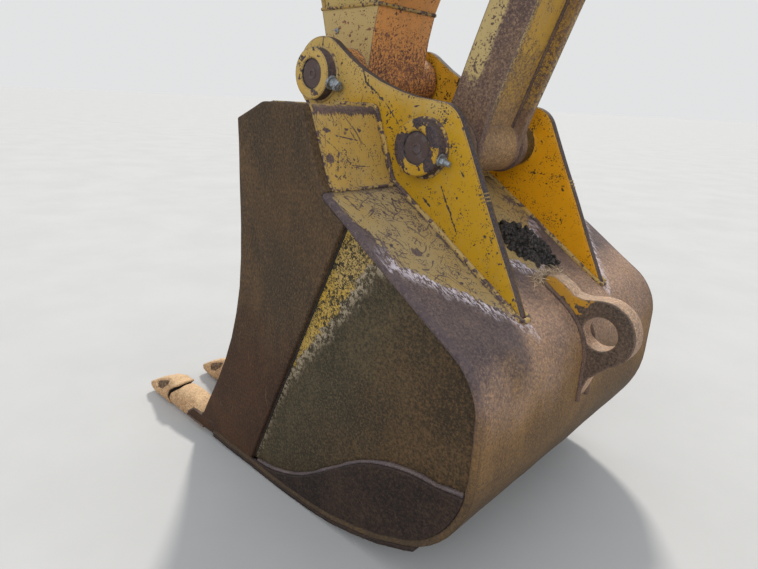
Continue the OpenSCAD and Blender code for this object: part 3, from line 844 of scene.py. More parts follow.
YELLOW: Colour = (0.43, 0.240, 0.009)
MUSTARD: Colour = (0.40, 0.250, 0.055)
BEIGE: Colour = (0.38, 0.275, 0.115)
ORANGE: Colour = (0.62, 0.275, 0.075)
PURPLE: Colour = (0.060, 0.044, 0.048)
PLUM: Colour = (0.088, 0.060, 0.060)

# Gouges: start, stop and width
EAR_GOUGES: tuple[Line, ...] = (
    ((0.327, -0.324, -3.351), (0.346, -0.324, -3.405), 0.0045),
    ((0.346, -0.324, -3.405), (0.433, -0.324, -3.464), 0.0055),
    ((0.452, -0.324, -3.477), (0.519, -0.324, -3.550), 0.0030),
    ((0.716, -0.324, -3.733), (0.795, -0.324, -3.879), 0.0040),
    ((0.640, -0.324, -3.780), (0.675, -0.324, -3.803), 0.0035),
    ((0.786, -0.324, -3.669), (0.804, -0.324, -3.689), 0.0040),
    ((0.387, -0.324, -3.345), (0.433, -0.324, -3.391), 0.0040),
    ((0.290, -0.324, -3.297), (0.271, -0.324, -3.337), 0.0035),
    ((0.740, 0.324, -3.700), (0.820, 0.324, -3.860), 0.0035),
    ((0.350, 0.324, -3.410), (0.450, 0.324, -3.480), 0.0040),
)
HINGE_GOUGES: tuple[Line, ...] = (
    ((0.434, -0.628, -3.568), (0.460, -0.557, -3.634), 0.0022),
    ((0.440, -0.552, -3.582), (0.447, -0.459, -3.601), 0.0028),
    ((0.429, -0.465, -3.555), (0.453, -0.432, -3.616), 0.0022),
    ((0.462, -0.559, -3.638), (0.483, -0.580, -3.692), 0.0042),
    ((0.478, -0.511, -3.678), (0.481, -0.437, -3.686), 0.0020),
    ((0.445, 0.40, -3.60), (0.470, 0.52, -3.66), 0.0028),
)
BACK_GOUGES: tuple[Line, ...] = (
    ((0.573, -0.532, -3.785), (0.697, -0.505, -3.866), 0.0024),
    ((0.548, -0.605, -3.768), (0.600, -0.597, -3.803), 0.0050),
    ((0.689, -0.608, -3.861), (0.859, -0.604, -3.973), 0.0040),
    ((0.859, -0.604, -3.973), (0.948, -0.572, -4.031), 0.0050),
    ((0.660, 0.420, -3.842), (0.800, 0.520, -3.934), 0.0030),
)


class Finishes:
    """All the materials of the scene, by use."""

    def __init__(self) -> None:
        """Builds each material once."""
        bare_steel = dict(dark=PURPLE, mid=PLUM, light=(0.17, 0.10, 0.075))
        ear_strokes = ((-24.0, 150.0, 14.0, 0.735), (38.0, 170.0, 9.0, 0.745))
        plate_strokes = ((-28.0, 150.0, 16.0, 0.69), (12.0, 190.0, 12.0, 0.69), (64.0, 140.0, 15.0, 0.70))
        self.ear = SteelFinish(
            "ear_paint", (0.034, 0.029, 0.036), (0.056, 0.044, 0.049), (0.13, 0.080, 0.060),
            coat=Coat(
                YELLOW, (0.42, 0.28, 0.080), ((30.0, 0.715), (80.0, 0.675), (190.0, 0.655)), lost=lost_on_ear,
                turn=ear_turn, dirt=0.22,
            ),
            edge=(0.048, 0.040, 0.050), edge_radius=0.015, edge_reach=0.66, strokes=ear_strokes,
            # the inner faces get a deeper orange as painted shade and bounce light
            gouges=EAR_GOUGES, shine=0.0, dust=0.10, dust_colour=(0.36, 0.26, 0.20), tone_and_shade_zone=inner_face_painted_shade,
            tone_and_shade_tint=(1.42, 1.12, 0.28),
        ).build()
        self.hinge = SteelFinish(
            "hinge_plate_paint", **bare_steel,
            coat=Coat(
                MUSTARD, BEIGE, ((24.0, 0.78), (75.0, 0.70), (180.0, 0.65)), lost=lost_on_hinge,
                turn=ear_turn,
            ),
            edge_reach=0.6, plane=HINGE_PLANE, strokes=plate_strokes, gouges=HINGE_GOUGES, shine=0.0,
        ).build()
        self.stick = SteelFinish(
            "stick_paint", **bare_steel,
            coat=Coat((0.37, 0.265, 0.09), BEIGE, ((26.0, 0.69), (80.0, 0.66), (200.0, 0.67))),
            strokes=ear_strokes, shine=0.0,
        ).build()
        self.stick_front = SteelFinish(
            "stick_front_paint", (0.120, 0.056, 0.046), (0.225, 0.105, 0.068), (0.42, 0.19, 0.070),
            coat=Coat(
                ORANGE, (0.38, 0.275, 0.11), ((60.0, 0.66), (160.0, 0.66)), lost=lost_on_nose, turn=nose_turn,
            ),
        ).build()
        self.cylinder = SteelFinish(
            "cylinder_paint", **bare_steel, coat=Coat(YELLOW, MUSTARD), shine=0.0,
        ).build()
        self.bar = SteelFinish(
            "side_bar_rust", (0.042, 0.028, 0.016), (0.070, 0.041, 0.020), (0.140, 0.082, 0.038), streak=0.16,
            edge_radius=0.016, edge=(0.085, 0.068, 0.070), stretch=(1.3, 1.3, 0.75),
            # the lower half is darkened as redder rust and as painted shade near the ground
            strokes=((4.0, 160.0, 22.0, 0.71), (-31.0, 190.0, 14.0, 0.74)), zone=low_rust_and_painted_shade,
            tint=(0.66, 0.50, 0.44), dust=0.08,
        ).build()
        self.panel = SteelFinish(
            "side_panel_rust", (0.034, 0.028, 0.016), (0.050, 0.039, 0.021), (0.120, 0.086, 0.044),
            coat=Coat(
                (0.43, 0.27, 0.035), (0.38, 0.26, 0.085), ((70.0, 0.60), (180.0, 0.57)), keep=kept_on_panel,
                primer=(0.36, 0.29, 0.20), dirt=0.35,
            ),
            streak=0.10, edge_reach=0.3, zone=ruddy_zone, tint=(1.08, 0.86, 0.76), dust=0.06,
        ).build()
        # the corner plates' rust is darkened further as painted shade from the grass
        self.corner = SteelFinish(
            "corner_plate_rust_painted_shade", (0.014, 0.009, 0.008), (0.026, 0.015, 0.011), (0.064, 0.038, 0.024),
            edge=(0.058, 0.045, 0.050), edge_reach=0.4, dust=0.07,
        ).build()
        self.skin = SteelFinish(
            "bucket_back_rust", (0.070, 0.052, 0.058), (0.098, 0.072, 0.074), (0.18, 0.125, 0.098),
            coat=Coat(
                (0.34, 0.235, 0.085), (0.33, 0.250, 0.125), ((20.0, 0.72), (70.0, 0.665), (170.0, 0.635)),
                keep=kept_on_back, lost=lost_on_back, primer=(0.56, 0.50, 0.54), dirt=0.4,
            ),
            streak=0.25, edge=(0.085, 0.066, 0.080), edge_radius=0.05, edge_reach=0.62, plane=BACK_PLANE,
            strokes=(
                (-28.0, 150.0, 16.0, 0.665), (12.0, 190.0, 12.0, 0.67), (64.0, 140.0, 15.0, 0.675),
                (-62.0, 170.0, 12.0, 0.68),
            ),
            # the heel's pale tan is rubbed steel with painted sunlight; the darker olive below it is rust
            # with painted shade
            gouges=BACK_GOUGES, shine=0.25, zone=heel_rub_and_painted_sun, tint=(2.6, 2.3, 1.65), dust=0.05, tone_and_shade_zone=lower_rust_and_painted_shade,
            tone_and_shade_tint=(0.76, 0.66, 0.36),
        ).build()
        self.inside = SteelFinish(
            "worn_inside", (0.09, 0.07, 0.055), (0.15, 0.105, 0.07), (0.28, 0.20, 0.13), roughness=0.5,
            plane=BACK_PLANE, strokes=plate_strokes,
        ).build()
        self.eye = SteelFinish(
            "lifting_eye_rust", (0.060, 0.045, 0.036), (0.095, 0.062, 0.045), (0.19, 0.125, 0.080),
            coat=Coat(
                (0.46, 0.21, 0.010), (0.42, 0.22, 0.03), ((40.0, 0.62), (110.0, 0.62)), keep=kept_on_eye,
            ),
            # the eye's rim and hole are lightened for wear and as painted sunlight
            edge=(0.26, 0.19, 0.15), edge_radius=0.016, edge_reach=0.55, zone=rim_wear_and_painted_sun, tint=(3.5, 3.3, 3.0),
            dust=0.25, dust_colour=(0.45, 0.34, 0.23),
        ).build()
        self.link = SteelFinish(
            "link_rust", (0.135, 0.085, 0.058), (0.235, 0.140, 0.066), (0.40, 0.25, 0.115),
            coat=Coat(
                (0.42, 0.245, 0.040), (0.42, 0.315, 0.135), ((26.0, 0.68), (75.0, 0.63), (170.0, 0.64)),
                keep=kept_on_link, turn=link_turn, primer=(0.40, 0.30, 0.17),
            ),
            streak=0.3, zone=plate_zone, tint=(0.70, 0.72, 0.95), edge=(0.18, 0.135, 0.115),
        ).build()
        self.tooth = SteelFinish(
            "dusty_tooth", (0.29, 0.160, 0.080), (0.48, 0.295, 0.150), (0.66, 0.46, 0.26),
            edge=(0.38, 0.215, 0.120), edge_radius=0.010, roughness=0.8, dust=0.35,
            dust_colour=(0.68, 0.50, 0.31),
        ).build()
        self.bead = SteelFinish(
            "weld_bead", (0.07, 0.045, 0.040), (0.12, 0.072, 0.050), (0.22, 0.14, 0.09), edge_reach=0.2,
            scale=2.0,
        ).build()
        self.ridge = SteelFinish(
            "pale_weld_bead", (0.060, 0.046, 0.050), (0.095, 0.075, 0.082), (0.17, 0.135, 0.140),
            edge_reach=0.2, scale=2.0,
        ).build()
        self.painted_bead = SteelFinish(
            "painted_weld_bead", **bare_steel, coat=Coat(MUSTARD, BEIGE, ((38.0, 0.55), (110.0, 0.62))),
            edge_reach=0.2, shine=0.0,
        ).build()
        self.pin = MetalFinish(
            "pin_steel", (0.105, 0.085, 0.090), (0.070, 0.045, 0.040), metallic=0.35, roughness=0.55,
            stain_share=0.8,
        ).build()
        self.bolt = MetalFinish(
            "bolt_zinc", (0.27, 0.30, 0.33), (0.085, 0.072, 0.065), metallic=0.6, roughness=0.45,
        ).build()
        self.chrome = MetalFinish(
            "rod_chrome", (0.78, 0.78, 0.80), (0.40, 0.36, 0.32), metallic=1.0, roughness=0.14,
            stain_share=0.05, bump=0.05,
        ).build()
        self.seal = SoftFinish("seal_rubber", (0.012, 0.012, 0.012), (0.05, 0.045, 0.04), 50.0, 0.6).build()
        self.earth = SoftFinish(
            "black_earth", (0.006, 0.006, 0.006), (0.062, 0.052, 0.047), 90.0, 0.9, 0.9,
        ).build()
        self.straw = SoftFinish("dry_grass", (0.32, 0.23, 0.14), (0.62, 0.49, 0.33), 40.0, 0.7, 0.2).build()
        # the pockets' dark brown is painted shade
        self.pocket = SoftFinish(
            "pocket_painted_shade", (0.045, 0.026, 0.016), (0.20, 0.115, 0.055), 70.0, 0.9, 0.5,
        ).build()
        # the near-black of the gaps is painted shade
        self.gap = SoftFinish(
            "painted_gap_shade", (0.010, 0.008, 0.007), (0.028, 0.020, 0.015), 80.0, 0.9, 0.5,
        ).build()


def metres(flat: Iterable[Flat]) -> list[Flat]:
    """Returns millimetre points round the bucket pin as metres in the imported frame."""
    return [(BUCKET_PIN[0] + x / 1000.0, BUCKET_PIN[1] + z / 1000.0) for x, z in flat]


Pose = tuple[float, float, float]
Leg = tuple[float, float]
# The most degrees between two poses of a bent leg
LEG_STEP: float = 3.0


def leg_end(pose: Pose, leg: Leg) -> Pose:
    """Returns the pose after a leg of a length and a turn, in millimetres and degrees."""
    x, z, heading = pose
    length, turn = leg
    start = math.radians(heading)
    if turn == 0:
        return (x + length * math.cos(start), z + length * math.sin(start), heading)
    radius = length / math.radians(turn)
    stop = math.radians(heading + turn)
    return (
        x + radius * (math.sin(stop) - math.sin(start)), z - radius * (math.cos(stop) - math.cos(start)),
        heading + turn,
    )


def trace(pose: Pose, legs: Sequence[Leg]) -> list[Pose]:
    """Returns the poses along a path that starts at a pose, from the length and turn of each leg."""
    poses = [pose]
    for length, turn in legs:
        count = max(1, math.ceil(abs(turn) / LEG_STEP))
        for k in range(1, count + 1):
            poses.append(leg_end(pose, (length * k / count, turn * k / count)))
        pose = poses[-1]
    return poses


def beside(poses: Iterable[Pose], gap: float) -> list[Flat]:
    """Returns the path moved to its right by gap."""
    return [(x + gap * math.sin(math.radians(h)), z - gap * math.cos(math.radians(h))) for x, z, h in poses]


def resample(points: Sequence[Vector], step: float) -> list[Vector]:
    """Returns points at equal steps along a path."""
    lengths = [0.0]
    for a, b in zip(points, points[1:]):
        lengths.append(lengths[-1] + (b - a).length)
    count = max(2, int(lengths[-1] / step))
    result = []
    k = 0
    for i in range(count + 1):
        target = lengths[-1] * i / count
        while k < len(points) - 2 and lengths[k + 1] < target:
            k += 1
        span = max(lengths[k + 1] - lengths[k], 1e-9)
        result.append(points[k].lerp(points[k + 1], (target - lengths[k]) / span))
    return result


def upright(origin: Sequence[float], direction: Sequence[float]) -> Matrix:
    """Returns the matrix that puts the Z axis along direction, at origin."""
    axis = Vector(direction).normalized()
    return Matrix.Translation(Vector(origin)) @ axis.to_track_quat("Z", "Y").to_matrix().to_4x4()


RING_SIDES: int = 72
BEAD_SIDES: int = 8
BEAD_STEP: float = 0.0045
BEAD_RIPPLE: float = 0.0135
MERGE: float = 1e-5


class Piece:
    """One mesh of the scene, gathered part by part and then put on its body."""

    def __init__(self, name: str, body: Body, slot: Slot, *materials: Material) -> None:
        """Starts an empty mesh.

        Args:
            name: The piece's name.
            body: The body that it rides on.
            slot: The record's slot; it is not used.
            materials: Its materials; the first is used unless a part says otherwise.
        """
        self.name, self.body, self.slot, self.materials = name, body, slot, materials
        self.mesh = bmesh.new()

    def lathe(
        self, profile: Sequence[Flat], place: Matrix, count: int, material: int = 0, twist: float = 0.0,
    ) -> None:
        """Adds a turned shape.

        Args:
            profile: Radius and height of each ring; a radius of 0 closes the end.
            place: Where its Z axis goes.
            count: The number of sides.
            material: The index of its material.
            twist: Turn of the first side, in radians.
        """
        angles = [twist + math.tau * k / count for k in range(count)]
        rings = []
        for radius, height in profile:
            if radius < 1e-6:
                spots = [Vector((0, 0, height))]
            else:
                spots = [Vector((radius * math.cos(a), radius * math.sin(a), height)) for a in angles]
            rings.append([self.mesh.verts.new(place @ spot) for spot in spots])
        for a, b in zip(rings, rings[1:]):
            self.band(a, b, material)

    def band(self, a: list, b: list, material: int = 0) -> None:
        """Joins two rings, or a ring and a point, with faces."""
        count = max(len(a), len(b))
        if count == 1:
            return
        for k in range(count):
            n = (k + 1) % count
            if len(a) == 1:
                corners = (a[0], b[n], b[k])
            elif len(b) == 1:
                corners = (a[k], a[n], b[0])
            else:
                corners = (a[k], a[n], b[n], b[k])
            self.mesh.faces.new(corners).material_index = material

    def sweep(self, points: Sequence[Vector], radius: Callable[[float, float], float], closed: bool) -> None:
        """Adds a bead along a path.

        Args:
            points: The path.
            radius: Radius at a distance along the path and an angle round it.
            closed: Whether the path's end joins its start.
        """
        rings = []
        run = 0.0
        reference = Vector((0.13, 0.92, 0.37)).normalized()
        count = len(points)
        for k, point in enumerate(points):
            before = points[k - 1] if k or closed else point
            after = points[(k + 1) % count] if k < count - 1 or closed else point
            ahead = (after - before).normalized()
            side = ahead.cross(reference).normalized()
            up = side.cross(ahead)
            if k:
                run += (point - points[k - 1]).length
            ring = []
            for m in range(BEAD_SIDES):
                angle = math.tau * m / BEAD_SIDES
                out = side * math.cos(angle) + up * math.sin(angle)
                ring.append(self.mesh.verts.new(point + out * radius(run, angle)))
            rings.append(ring)
        for a, b in zip(rings, rings[1:]):
            self.band(a, b)
        if closed:
            self.band(rings[-1], rings[0])
        else:
            self.mesh.faces.new(list(reversed(rings[0])))
            self.mesh.faces.new(rings[-1])

    def bead(self, points: Sequence[Vector], size: float, closed: bool = False) -> None:
        """Adds a weld bead with its ripples along a path."""
        path = resample(points, BEAD_STEP)
        if closed:
            path = path[:-1]
        seed = points[0].x * 7.1 + points[0].y * 3.3

        def radius(run: float, angle: float) -> float:
            """Returns the bead's radius with its ripples and lumps."""
            ripple = abs(math.sin(math.pi * run / BEAD_RIPPLE))
            lump = noise.noise(Vector((run * 18.0, seed, angle * 0.4)))
            return size * (0.84 + 0.16 * ripple + 0.20 * lump)

        self.sweep(path, radius, closed)

    def seam(self, start: Point, stop: Point, size: float) -> None:
        """Adds a straight weld bead."""
        self.bead([Vector(start), Vector(stop)], size)

    def finish(self, *replaced: str, sharp: float = 32.0) -> bpy.types.Object:
        """Makes the object, shades it, and puts it on its body.

        Args:
            replaced: CAD nodes that it stands for.
            sharp: Edges over this angle stay sharp.

        Returns:
            The finished object.
        """
        bmesh.ops.recalc_face_normals(self.mesh, faces=self.mesh.faces)
        data = bpy.data.meshes.new(self.name)
        self.mesh.to_mesh(data)
        self.mesh.free()
        data.shade_smooth()
        data.set_sharp_from_angle(angle=math.radians(sharp))
        made = bpy.data.objects.new(self.name, data)
        for material in self.materials:
            data.materials.append(material)
        bpy.context.scene.collection.objects.link(made)
        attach(made, self.body.value)
        if replaced:
            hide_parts(*replaced)
        log.info("%s: %d faces on %s", self.name, len(data.polygons), self.body.value)
        return made


def cut_grid(mesh: bmesh.types.BMesh, step: float) -> None:
    """Cuts a mesh along planes a step apart, so that it can be dented."""
    low = Vector(min(v.co[k] for v in mesh.verts) for k in range(3))
    high = Vector(max(v.co[k] for v in mesh.verts) for k in range(3))
    for k in range(3):
        normal = Vector((0, 0, 0))
        normal[k] = 1.0
        for m in range(1, int((high[k] - low[k]) / step) + 1):
            at = Vector((0, 0, 0))
            at[k] = low[k] + m * step
            geometry = mesh.verts[:] + mesh.edges[:] + mesh.faces[:]
            bmesh.ops.bisect_plane(mesh, geom=geometry, dist=MERGE, plane_co=at, plane_no=normal)


@dataclass(frozen=True)
class WornPlate:
    """How a plate or casting of the frame is drawn again with rounded, dented edges."""

    bevel: float = 0.005
    segments: int = 2
    grid: float = 0.06
    dent: float = 0.0016
    dent_scale: float = 6.0
    sharp: float = 24.0
    flat: float = 0.6

    def draw(self, node: str, body: Body, slot: Slot, material: Material, frame: dict) -> bpy.types.Object:
        """Draws a worn copy of a CAD node in its place.

        Args:
            node: The CAD node.
            body: The body that it rides on.
            slot: Its material slot.
            material: Its material.
            frame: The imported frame.

        Returns:
            The new piece.
        """
        piece = Piece("worn_" + node, body, slot, material)
        mesh = piece.mesh
        mesh.from_mesh(frame["nodes"][node].data)
        bmesh.ops.remove_doubles(mesh, verts=mesh.verts, dist=MERGE)
        bmesh.ops.dissolve_limit(
            mesh, angle_limit=math.radians(self.flat), verts=mesh.verts, edges=mesh.edges,
        )
        edges = [e for e in mesh.edges if e.is_manifold and e.calc_face_angle(0.0) > math.radians(self.sharp)]
        bmesh.ops.bevel(
            mesh, geom=edges, offset=self.bevel, segments=self.segments, profile=0.55, affect="EDGES",
            clamp_overlap=True,
        )
        if self.grid:
            cut_grid(mesh, self.grid)
            for vertex in mesh.verts:
                vertex.co += noise.noise_vector(vertex.co * self.dent_scale) * self.dent
        for face in mesh.faces:
            face.material_index = 0
        return piece.finish(node, sharp=self.sharp)


TOP_POSE: Pose = (-47.0, -166.0, 21.7)
TOP_LEGS: tuple[Leg, ...] = ((150, 0), (24, -21.7), (166, 0), (34, -68.2))
BACK_LEGS: tuple[Leg, ...] = ((232, 0), (40, 34.9))
BEND_POSE: Pose = trace(TOP_POSE, TOP_LEGS + BACK_LEGS)[-1]
VERTEX_POSE: Pose = leg_end(BEND_POSE, (125, 0))
HEEL_LEGS: tuple[Leg, ...] = ((540, 0), (218, -56.7), (175, 0), (85, -11.6))
WEAR_POSE: Pose = trace(VERTEX_POSE, HEEL_LEGS)[-1]
FLOOR_LEGS: tuple[Leg, ...] = ((390, -53.4), (617, -26), (260, 0))
TOE_POSE: Pose = trace(WEAR_POSE, FLOOR_LEGS)[-1]
LIP_POSE: Pose = leg_end(TOE_POSE, (300, 0))


def beyond(pose: Pose, ahead: float, right: float) -> Flat:
    """Returns a point ahead of a pose and to its right, in millimetres."""
    return beside([leg_end(pose, (ahead, 0))], right)[0]


def run_at(flat: Iterable[Flat], y: float) -> list[Vector]:
    """Returns bucket points in millimetres as a path at a width y, in metres."""
    return [Vector((x, y, z)) for x, z in metres(flat)]


def across_at(spot: Flat, start: float, stop: float) -> list[Vector]:
    """Returns the straight path across the bucket at a point, from one width to another."""
    return [run_at([spot], y)[0] for y in (start, stop)]


@dataclass
class BucketShell:
    """The bucket's skin, plates, bars and lip, with their welds."""

    half: float = 0.675
    bar_in: float = 0.630
    panel_out: float = 0.650
    skin: float = 25.0
    lip: float = 60.0
    wave: tuple[Leg, ...] = ((430, 36), (230, 0), (400, -38))
    plates: WornPlate = field(default_factory=WornPlate)

    def build(self, frame: dict, looks: Finishes) -> None:
        """Draws the worn plates and their welds."""
        bar = WornPlate(bevel=0.009, segments=3, dent=0.002)
        panel = WornPlate(bevel=0.002, grid=0.07, dent=0.0025)
        pieces = {
            "bucket_skin": (looks.skin, WornPlate(bevel=0.010, segments=3, grid=0.07, dent=0.003)),
            "hinge_plate": (looks.hinge, self.plates),
            "box_plate": (looks.inside, self.plates),
            "side_bar_left": (looks.bar, bar),
            "side_bar_right": (looks.bar, bar),
            "side_panel_left": (looks.panel, panel),
            "side_panel_right": (looks.panel, panel),
            "corner_plates": (looks.corner, WornPlate(bevel=0.007, segments=3, dent=0.002)),
            "floor_strips": (looks.corner, self.plates),
            "lip": (looks.bar, WornPlate(bevel=0.006, dent=0.002)),
        }
        for node, (material, plate) in pieces.items():
            slot = Slot.YELLOW if node == "hinge_plate" else Slot.RUST
            plate.draw(node, Body.BUCKET, slot, material, frame)
        self.welds(looks)

    def welds(self, looks: Finishes) -> None:
        """Lays the beads between the plates, and a near-black bead along each side bar's edge as its painted
        shadow on the panel.
        """
        bare = Piece("shell_welds", Body.BUCKET, Slot.RUST, looks.bead)
        painted = Piece("hinge_plate_welds", Body.BUCKET, Slot.YELLOW, looks.painted_bead)
        pale = Piece("corner_plate_welds", Body.BUCKET, Slot.RUST, looks.ridge)
        dark = Piece("side_bar_painted_shadow", Body.BUCKET, Slot.RUST, looks.gap)
        top = beside(trace(TOP_POSE, TOP_LEGS + BACK_LEGS), 0.0)
        bend = beside([BEND_POSE], 0.0)[0]
        painted.bead(across_at(bend, -self.bar_in, self.bar_in), 0.006)
        back_corner = beside(trace(VERTEX_POSE, HEEL_LEGS + FLOOR_LEGS[:1]), self.skin + 2)
        start = beyond(TOE_POSE, 0, self.skin)
        wave = [(x, z) for x, z, _ in trace((start[0], start[1], 0.0), self.wave)][1:]
        wave.append(beside([WEAR_POSE], self.skin + 8)[0])
        bar_edge = [beside([VERTEX_POSE], self.skin + 6)[0], beyond(TOE_POSE, 0, self.skin + 6)]
        for side in (-1, 1):
            painted.bead(run_at(top, side * (self.bar_in + 0.001)), 0.0045)
            bare.bead(run_at(back_corner, side * (self.panel_out + 0.002)), 0.008)
            pale.bead(run_at(wave, side * (self.panel_out + 0.006)), 0.010)
            # near-black bead: the side bar's painted shadow on the panel
            dark.bead(run_at([(x + 3, z) for x, z in bar_edge], side * (self.panel_out + 0.001)), 0.006)
        for right, width in ((self.lip - 3, self.bar_in), (-1.0, self.half - 0.004)):
            seam = beyond(LIP_POSE, -4.0 if right > 0 else 0.0, right)
            bare.bead(across_at(seam, -width, width), 0.008)
        for piece in (bare, painted, pale, dark):
            piece.finish()


@dataclass
class Ears:
    """The two ears with their collars, pins and cross bolts."""

    inner: float = 0.284
    thick: float = 0.040
    collar: float = 0.095
    collar_out: float = 0.050
    pin_end: float = 0.367
    foot: float = 660.0
    bolt_turn: float = -19.0
    nut: float = 0.0208
    nut_height: float = 0.019
    washer: tuple[Flat, ...] = ((0, 0), (0.027, 0), (0.027, 0.006), (0.025, 0.008), (0, 0.008))
    joint: tuple[Flat, ...] = (
        (0.0515, 0.0), (0.0525, 0.003), (0.056, 0.0045), (0.0585, 0.003), (0.0590, -0.001),
    )
    grease_hole: tuple[Flat, ...] = (
        (0.020, 0.0), (0.020, 0.003), (0.017, 0.0045), (0.010, 0.0045), (0.009, 0.0015), (0, 0.0015),
    )
    ridge_top: Point = (0.7749, 0.0, -3.5189)
    ridge_ahead: Point = (0.446, 0.0, -0.895)
    ridge_out: Point = (0.895, 0.0, 0.446)
    ridge_spots: tuple[float, ...] = (0.240, 0.2525, 0.265)

    def build(self, frame: dict, looks: Finishes) -> None:
        """Draws the ears, their welds, pins and bolts."""
        plate = WornPlate(bevel=0.006, segments=3, grid=0.05, dent=0.0018)
        for node in ("ear_left", "ear_right"):
            plate.draw(node, Body.BUCKET, Slot.YELLOW, looks.ear, frame)
        for node in ("bucket_pin", "link_pin"):
            WornPlate(bevel=0.005, grid=0.0, dent=0.0).draw(node, Body.BUCKET, Slot.PIN, looks.pin, frame)
        self.welds(looks)
        self.fasteners(looks)
        self.ridges(looks)

    def welds(self, looks: Finishes) -> None:
        """Lays the beads round the ears' feet and collars."""
        piece = Piece("ear_welds", Body.BUCKET, Slot.YELLOW, looks.painted_bead)
        foot = trace(TOP_POSE, TOP_LEGS + BACK_LEGS + ((self.foot, 0),))
        path = beside(foot, -2.5)
        outer = self.inner + self.thick
        for side in (-1, 1):
            for y in (self.inner - 0.003, outer + 0.003):
                piece.bead(run_at(path, side * y), 0.010)
            tip = beyond(BEND_POSE, self.foot + 3, -2.0)
            piece.bead(across_at(tip, side * self.inner, side * outer), 0.010)
            for centre in (BUCKET_PIN, LINK_PIN):
                piece.bead(circle(centre, side * (outer + 0.002), self.collar + 0.002), 0.007, closed=True)
        piece.finish()

    def fasteners(self, looks: Finishes) -> None:
        """Fits the cross bolts, the pins' greasy joints and the grease holes."""
        bolts = Piece("collar_bolts", Body.BUCKET, Slot.PIN, looks.bolt)
        joints = Piece("pin_joints", Body.BUCKET, Slot.PIN, looks.earth, looks.pin)
        turn = math.radians(self.bolt_turn)
        ahead = Vector((math.cos(turn), 0.0, math.sin(turn)))
        middle = self.inner + self.thick + self.collar_out / 2
        for centre in (BUCKET_PIN, LINK_PIN):
            for side in (-1, 1):
                hub = Vector((centre[0], side * middle, centre[1]))
                nut_end = upright(hub + ahead * (self.collar - 0.004), ahead)
                size = 1.0 if centre == BUCKET_PIN else 0.78
                bolts.lathe([(r * size, h) for r, h in self.washer], nut_end, 28)
                for k in range(2 if centre == BUCKET_PIN else 1):
                    low = 0.008 + k * (self.nut_height + 0.001)
                    self._hexagon(
                        bolts, nut_end, self.nut * size, low, self.nut_height * size, 0.35 + 0.5 * k,
                    )
                shank = [
                    (0.0125 * size, 0.006), (0.0125 * size, 0.053 * size), (0.0105 * size, 0.056 * size),
                    (0, 0.056 * size),
                ]
                bolts.lathe(shank, nut_end, 20)
                face = upright((centre[0], side * (self.pin_end - 0.001), centre[1]), (0, side, 0))
                joints.lathe(self.joint, face, 56)
                joints.lathe(self.grease_hole, face, 28, 1)
        bolts.finish()
        joints.finish()

    def _hexagon(
        self, piece: Piece, place: Matrix, r: float, low: float, height: float, twist: float,
    ) -> None:
        """Adds a hexagon of radius r with rounded corners to a piece."""
        top = low + height
        profile = [(0, low), (r * 0.90, low), (r, low + 0.0025), (r, top - 0.0025), (r * 0.90, top), (0, top)]
        piece.lathe(profile, place, 6, 0, twist)

    def ridges(self, looks: Finishes) -> None:
        """Lays the three short ridges that were welded across each ear's back edge."""
        piece = Piece("ear_ridges", Body.BUCKET, Slot.YELLOW, looks.painted_bead)
        top, ahead, out = Vector(self.ridge_top), Vector(self.ridge_ahead), Vector(self.ridge_out)
        for side in (-1, 1):
            for along in self.ridge_spots:
                spot = top + ahead * along - out * 0.0012
                inner = spot + Vector((0, side * (self.inner + 0.003), 0))
                outer = spot + Vector((0, side * (self.inner + self.thick - 0.001), 0))
                piece.bead([inner, outer, outer - out * 0.012], 0.0036)
        piece.finish()


Station = Callable[[float, float], float]
Section = Callable[[float], tuple[float, float, float]]
Surface = Callable[[float, float, float], tuple[float, float]]
GAP_SHADE, POCKET_SHADE = 1, 2


@dataclass
class Casting:
    """One tooth or adapter, drawn as a row of rounded rings."""

    piece: Piece
    place: Matrix
    section: Section
    wear: Surface
    sides: int = 48
    rings: list[list] = field(default_factory=list)

    def ring(self, station: Station, power: float, shrink: float = 0.0, worn: bool = True) -> None:
        """Adds a ring.

        Args:
            station: How far ahead the ring lies, from its place across and up.
            power: How square the ring is; less is squarer.
            shrink: How far the ring is drawn in, in millimetres.
            worn: Whether the wear moves its points in and up.
        """
        ring = []
        for k in range(self.sides):
            a = math.tau * (k + 0.5) / self.sides
            u = math.copysign(abs(math.cos(a)) ** power, math.cos(a))
            v = math.copysign(abs(math.sin(a)) ** power, math.sin(a))
            ahead = station(u, v)
            half, top, low = self.section(ahead)
            inward, lift = self.wear(ahead, u, v) if worn else (0.0, 0.0)
            y = (half - shrink - inward) * u
            n = (top + low) / 2 + ((top - low) / 2 - shrink) * v + lift
            ring.append(self.piece.mesh.verts.new(self.place @ Vector((ahead, y, n))))
        self.rings.append(ring)

    def close(self, dark: int) -> None:
        """Joins the rings and closes both ends; the band and face at the end with index dark are painted
        near-black, as painted shade inside the gap between tooth and adapter.
        """
        bands = list(zip(self.rings, self.rings[1:]))
        shades = [0] * len(bands)
        shades[dark] = GAP_SHADE
        for (a, b), shade in zip(bands, shades):
            self.piece.band(a, b, shade)
        ends = [self.piece.mesh.faces.new(ring) for ring in (list(reversed(self.rings[0])), self.rings[-1])]
        ends[dark].material_index = GAP_SHADE


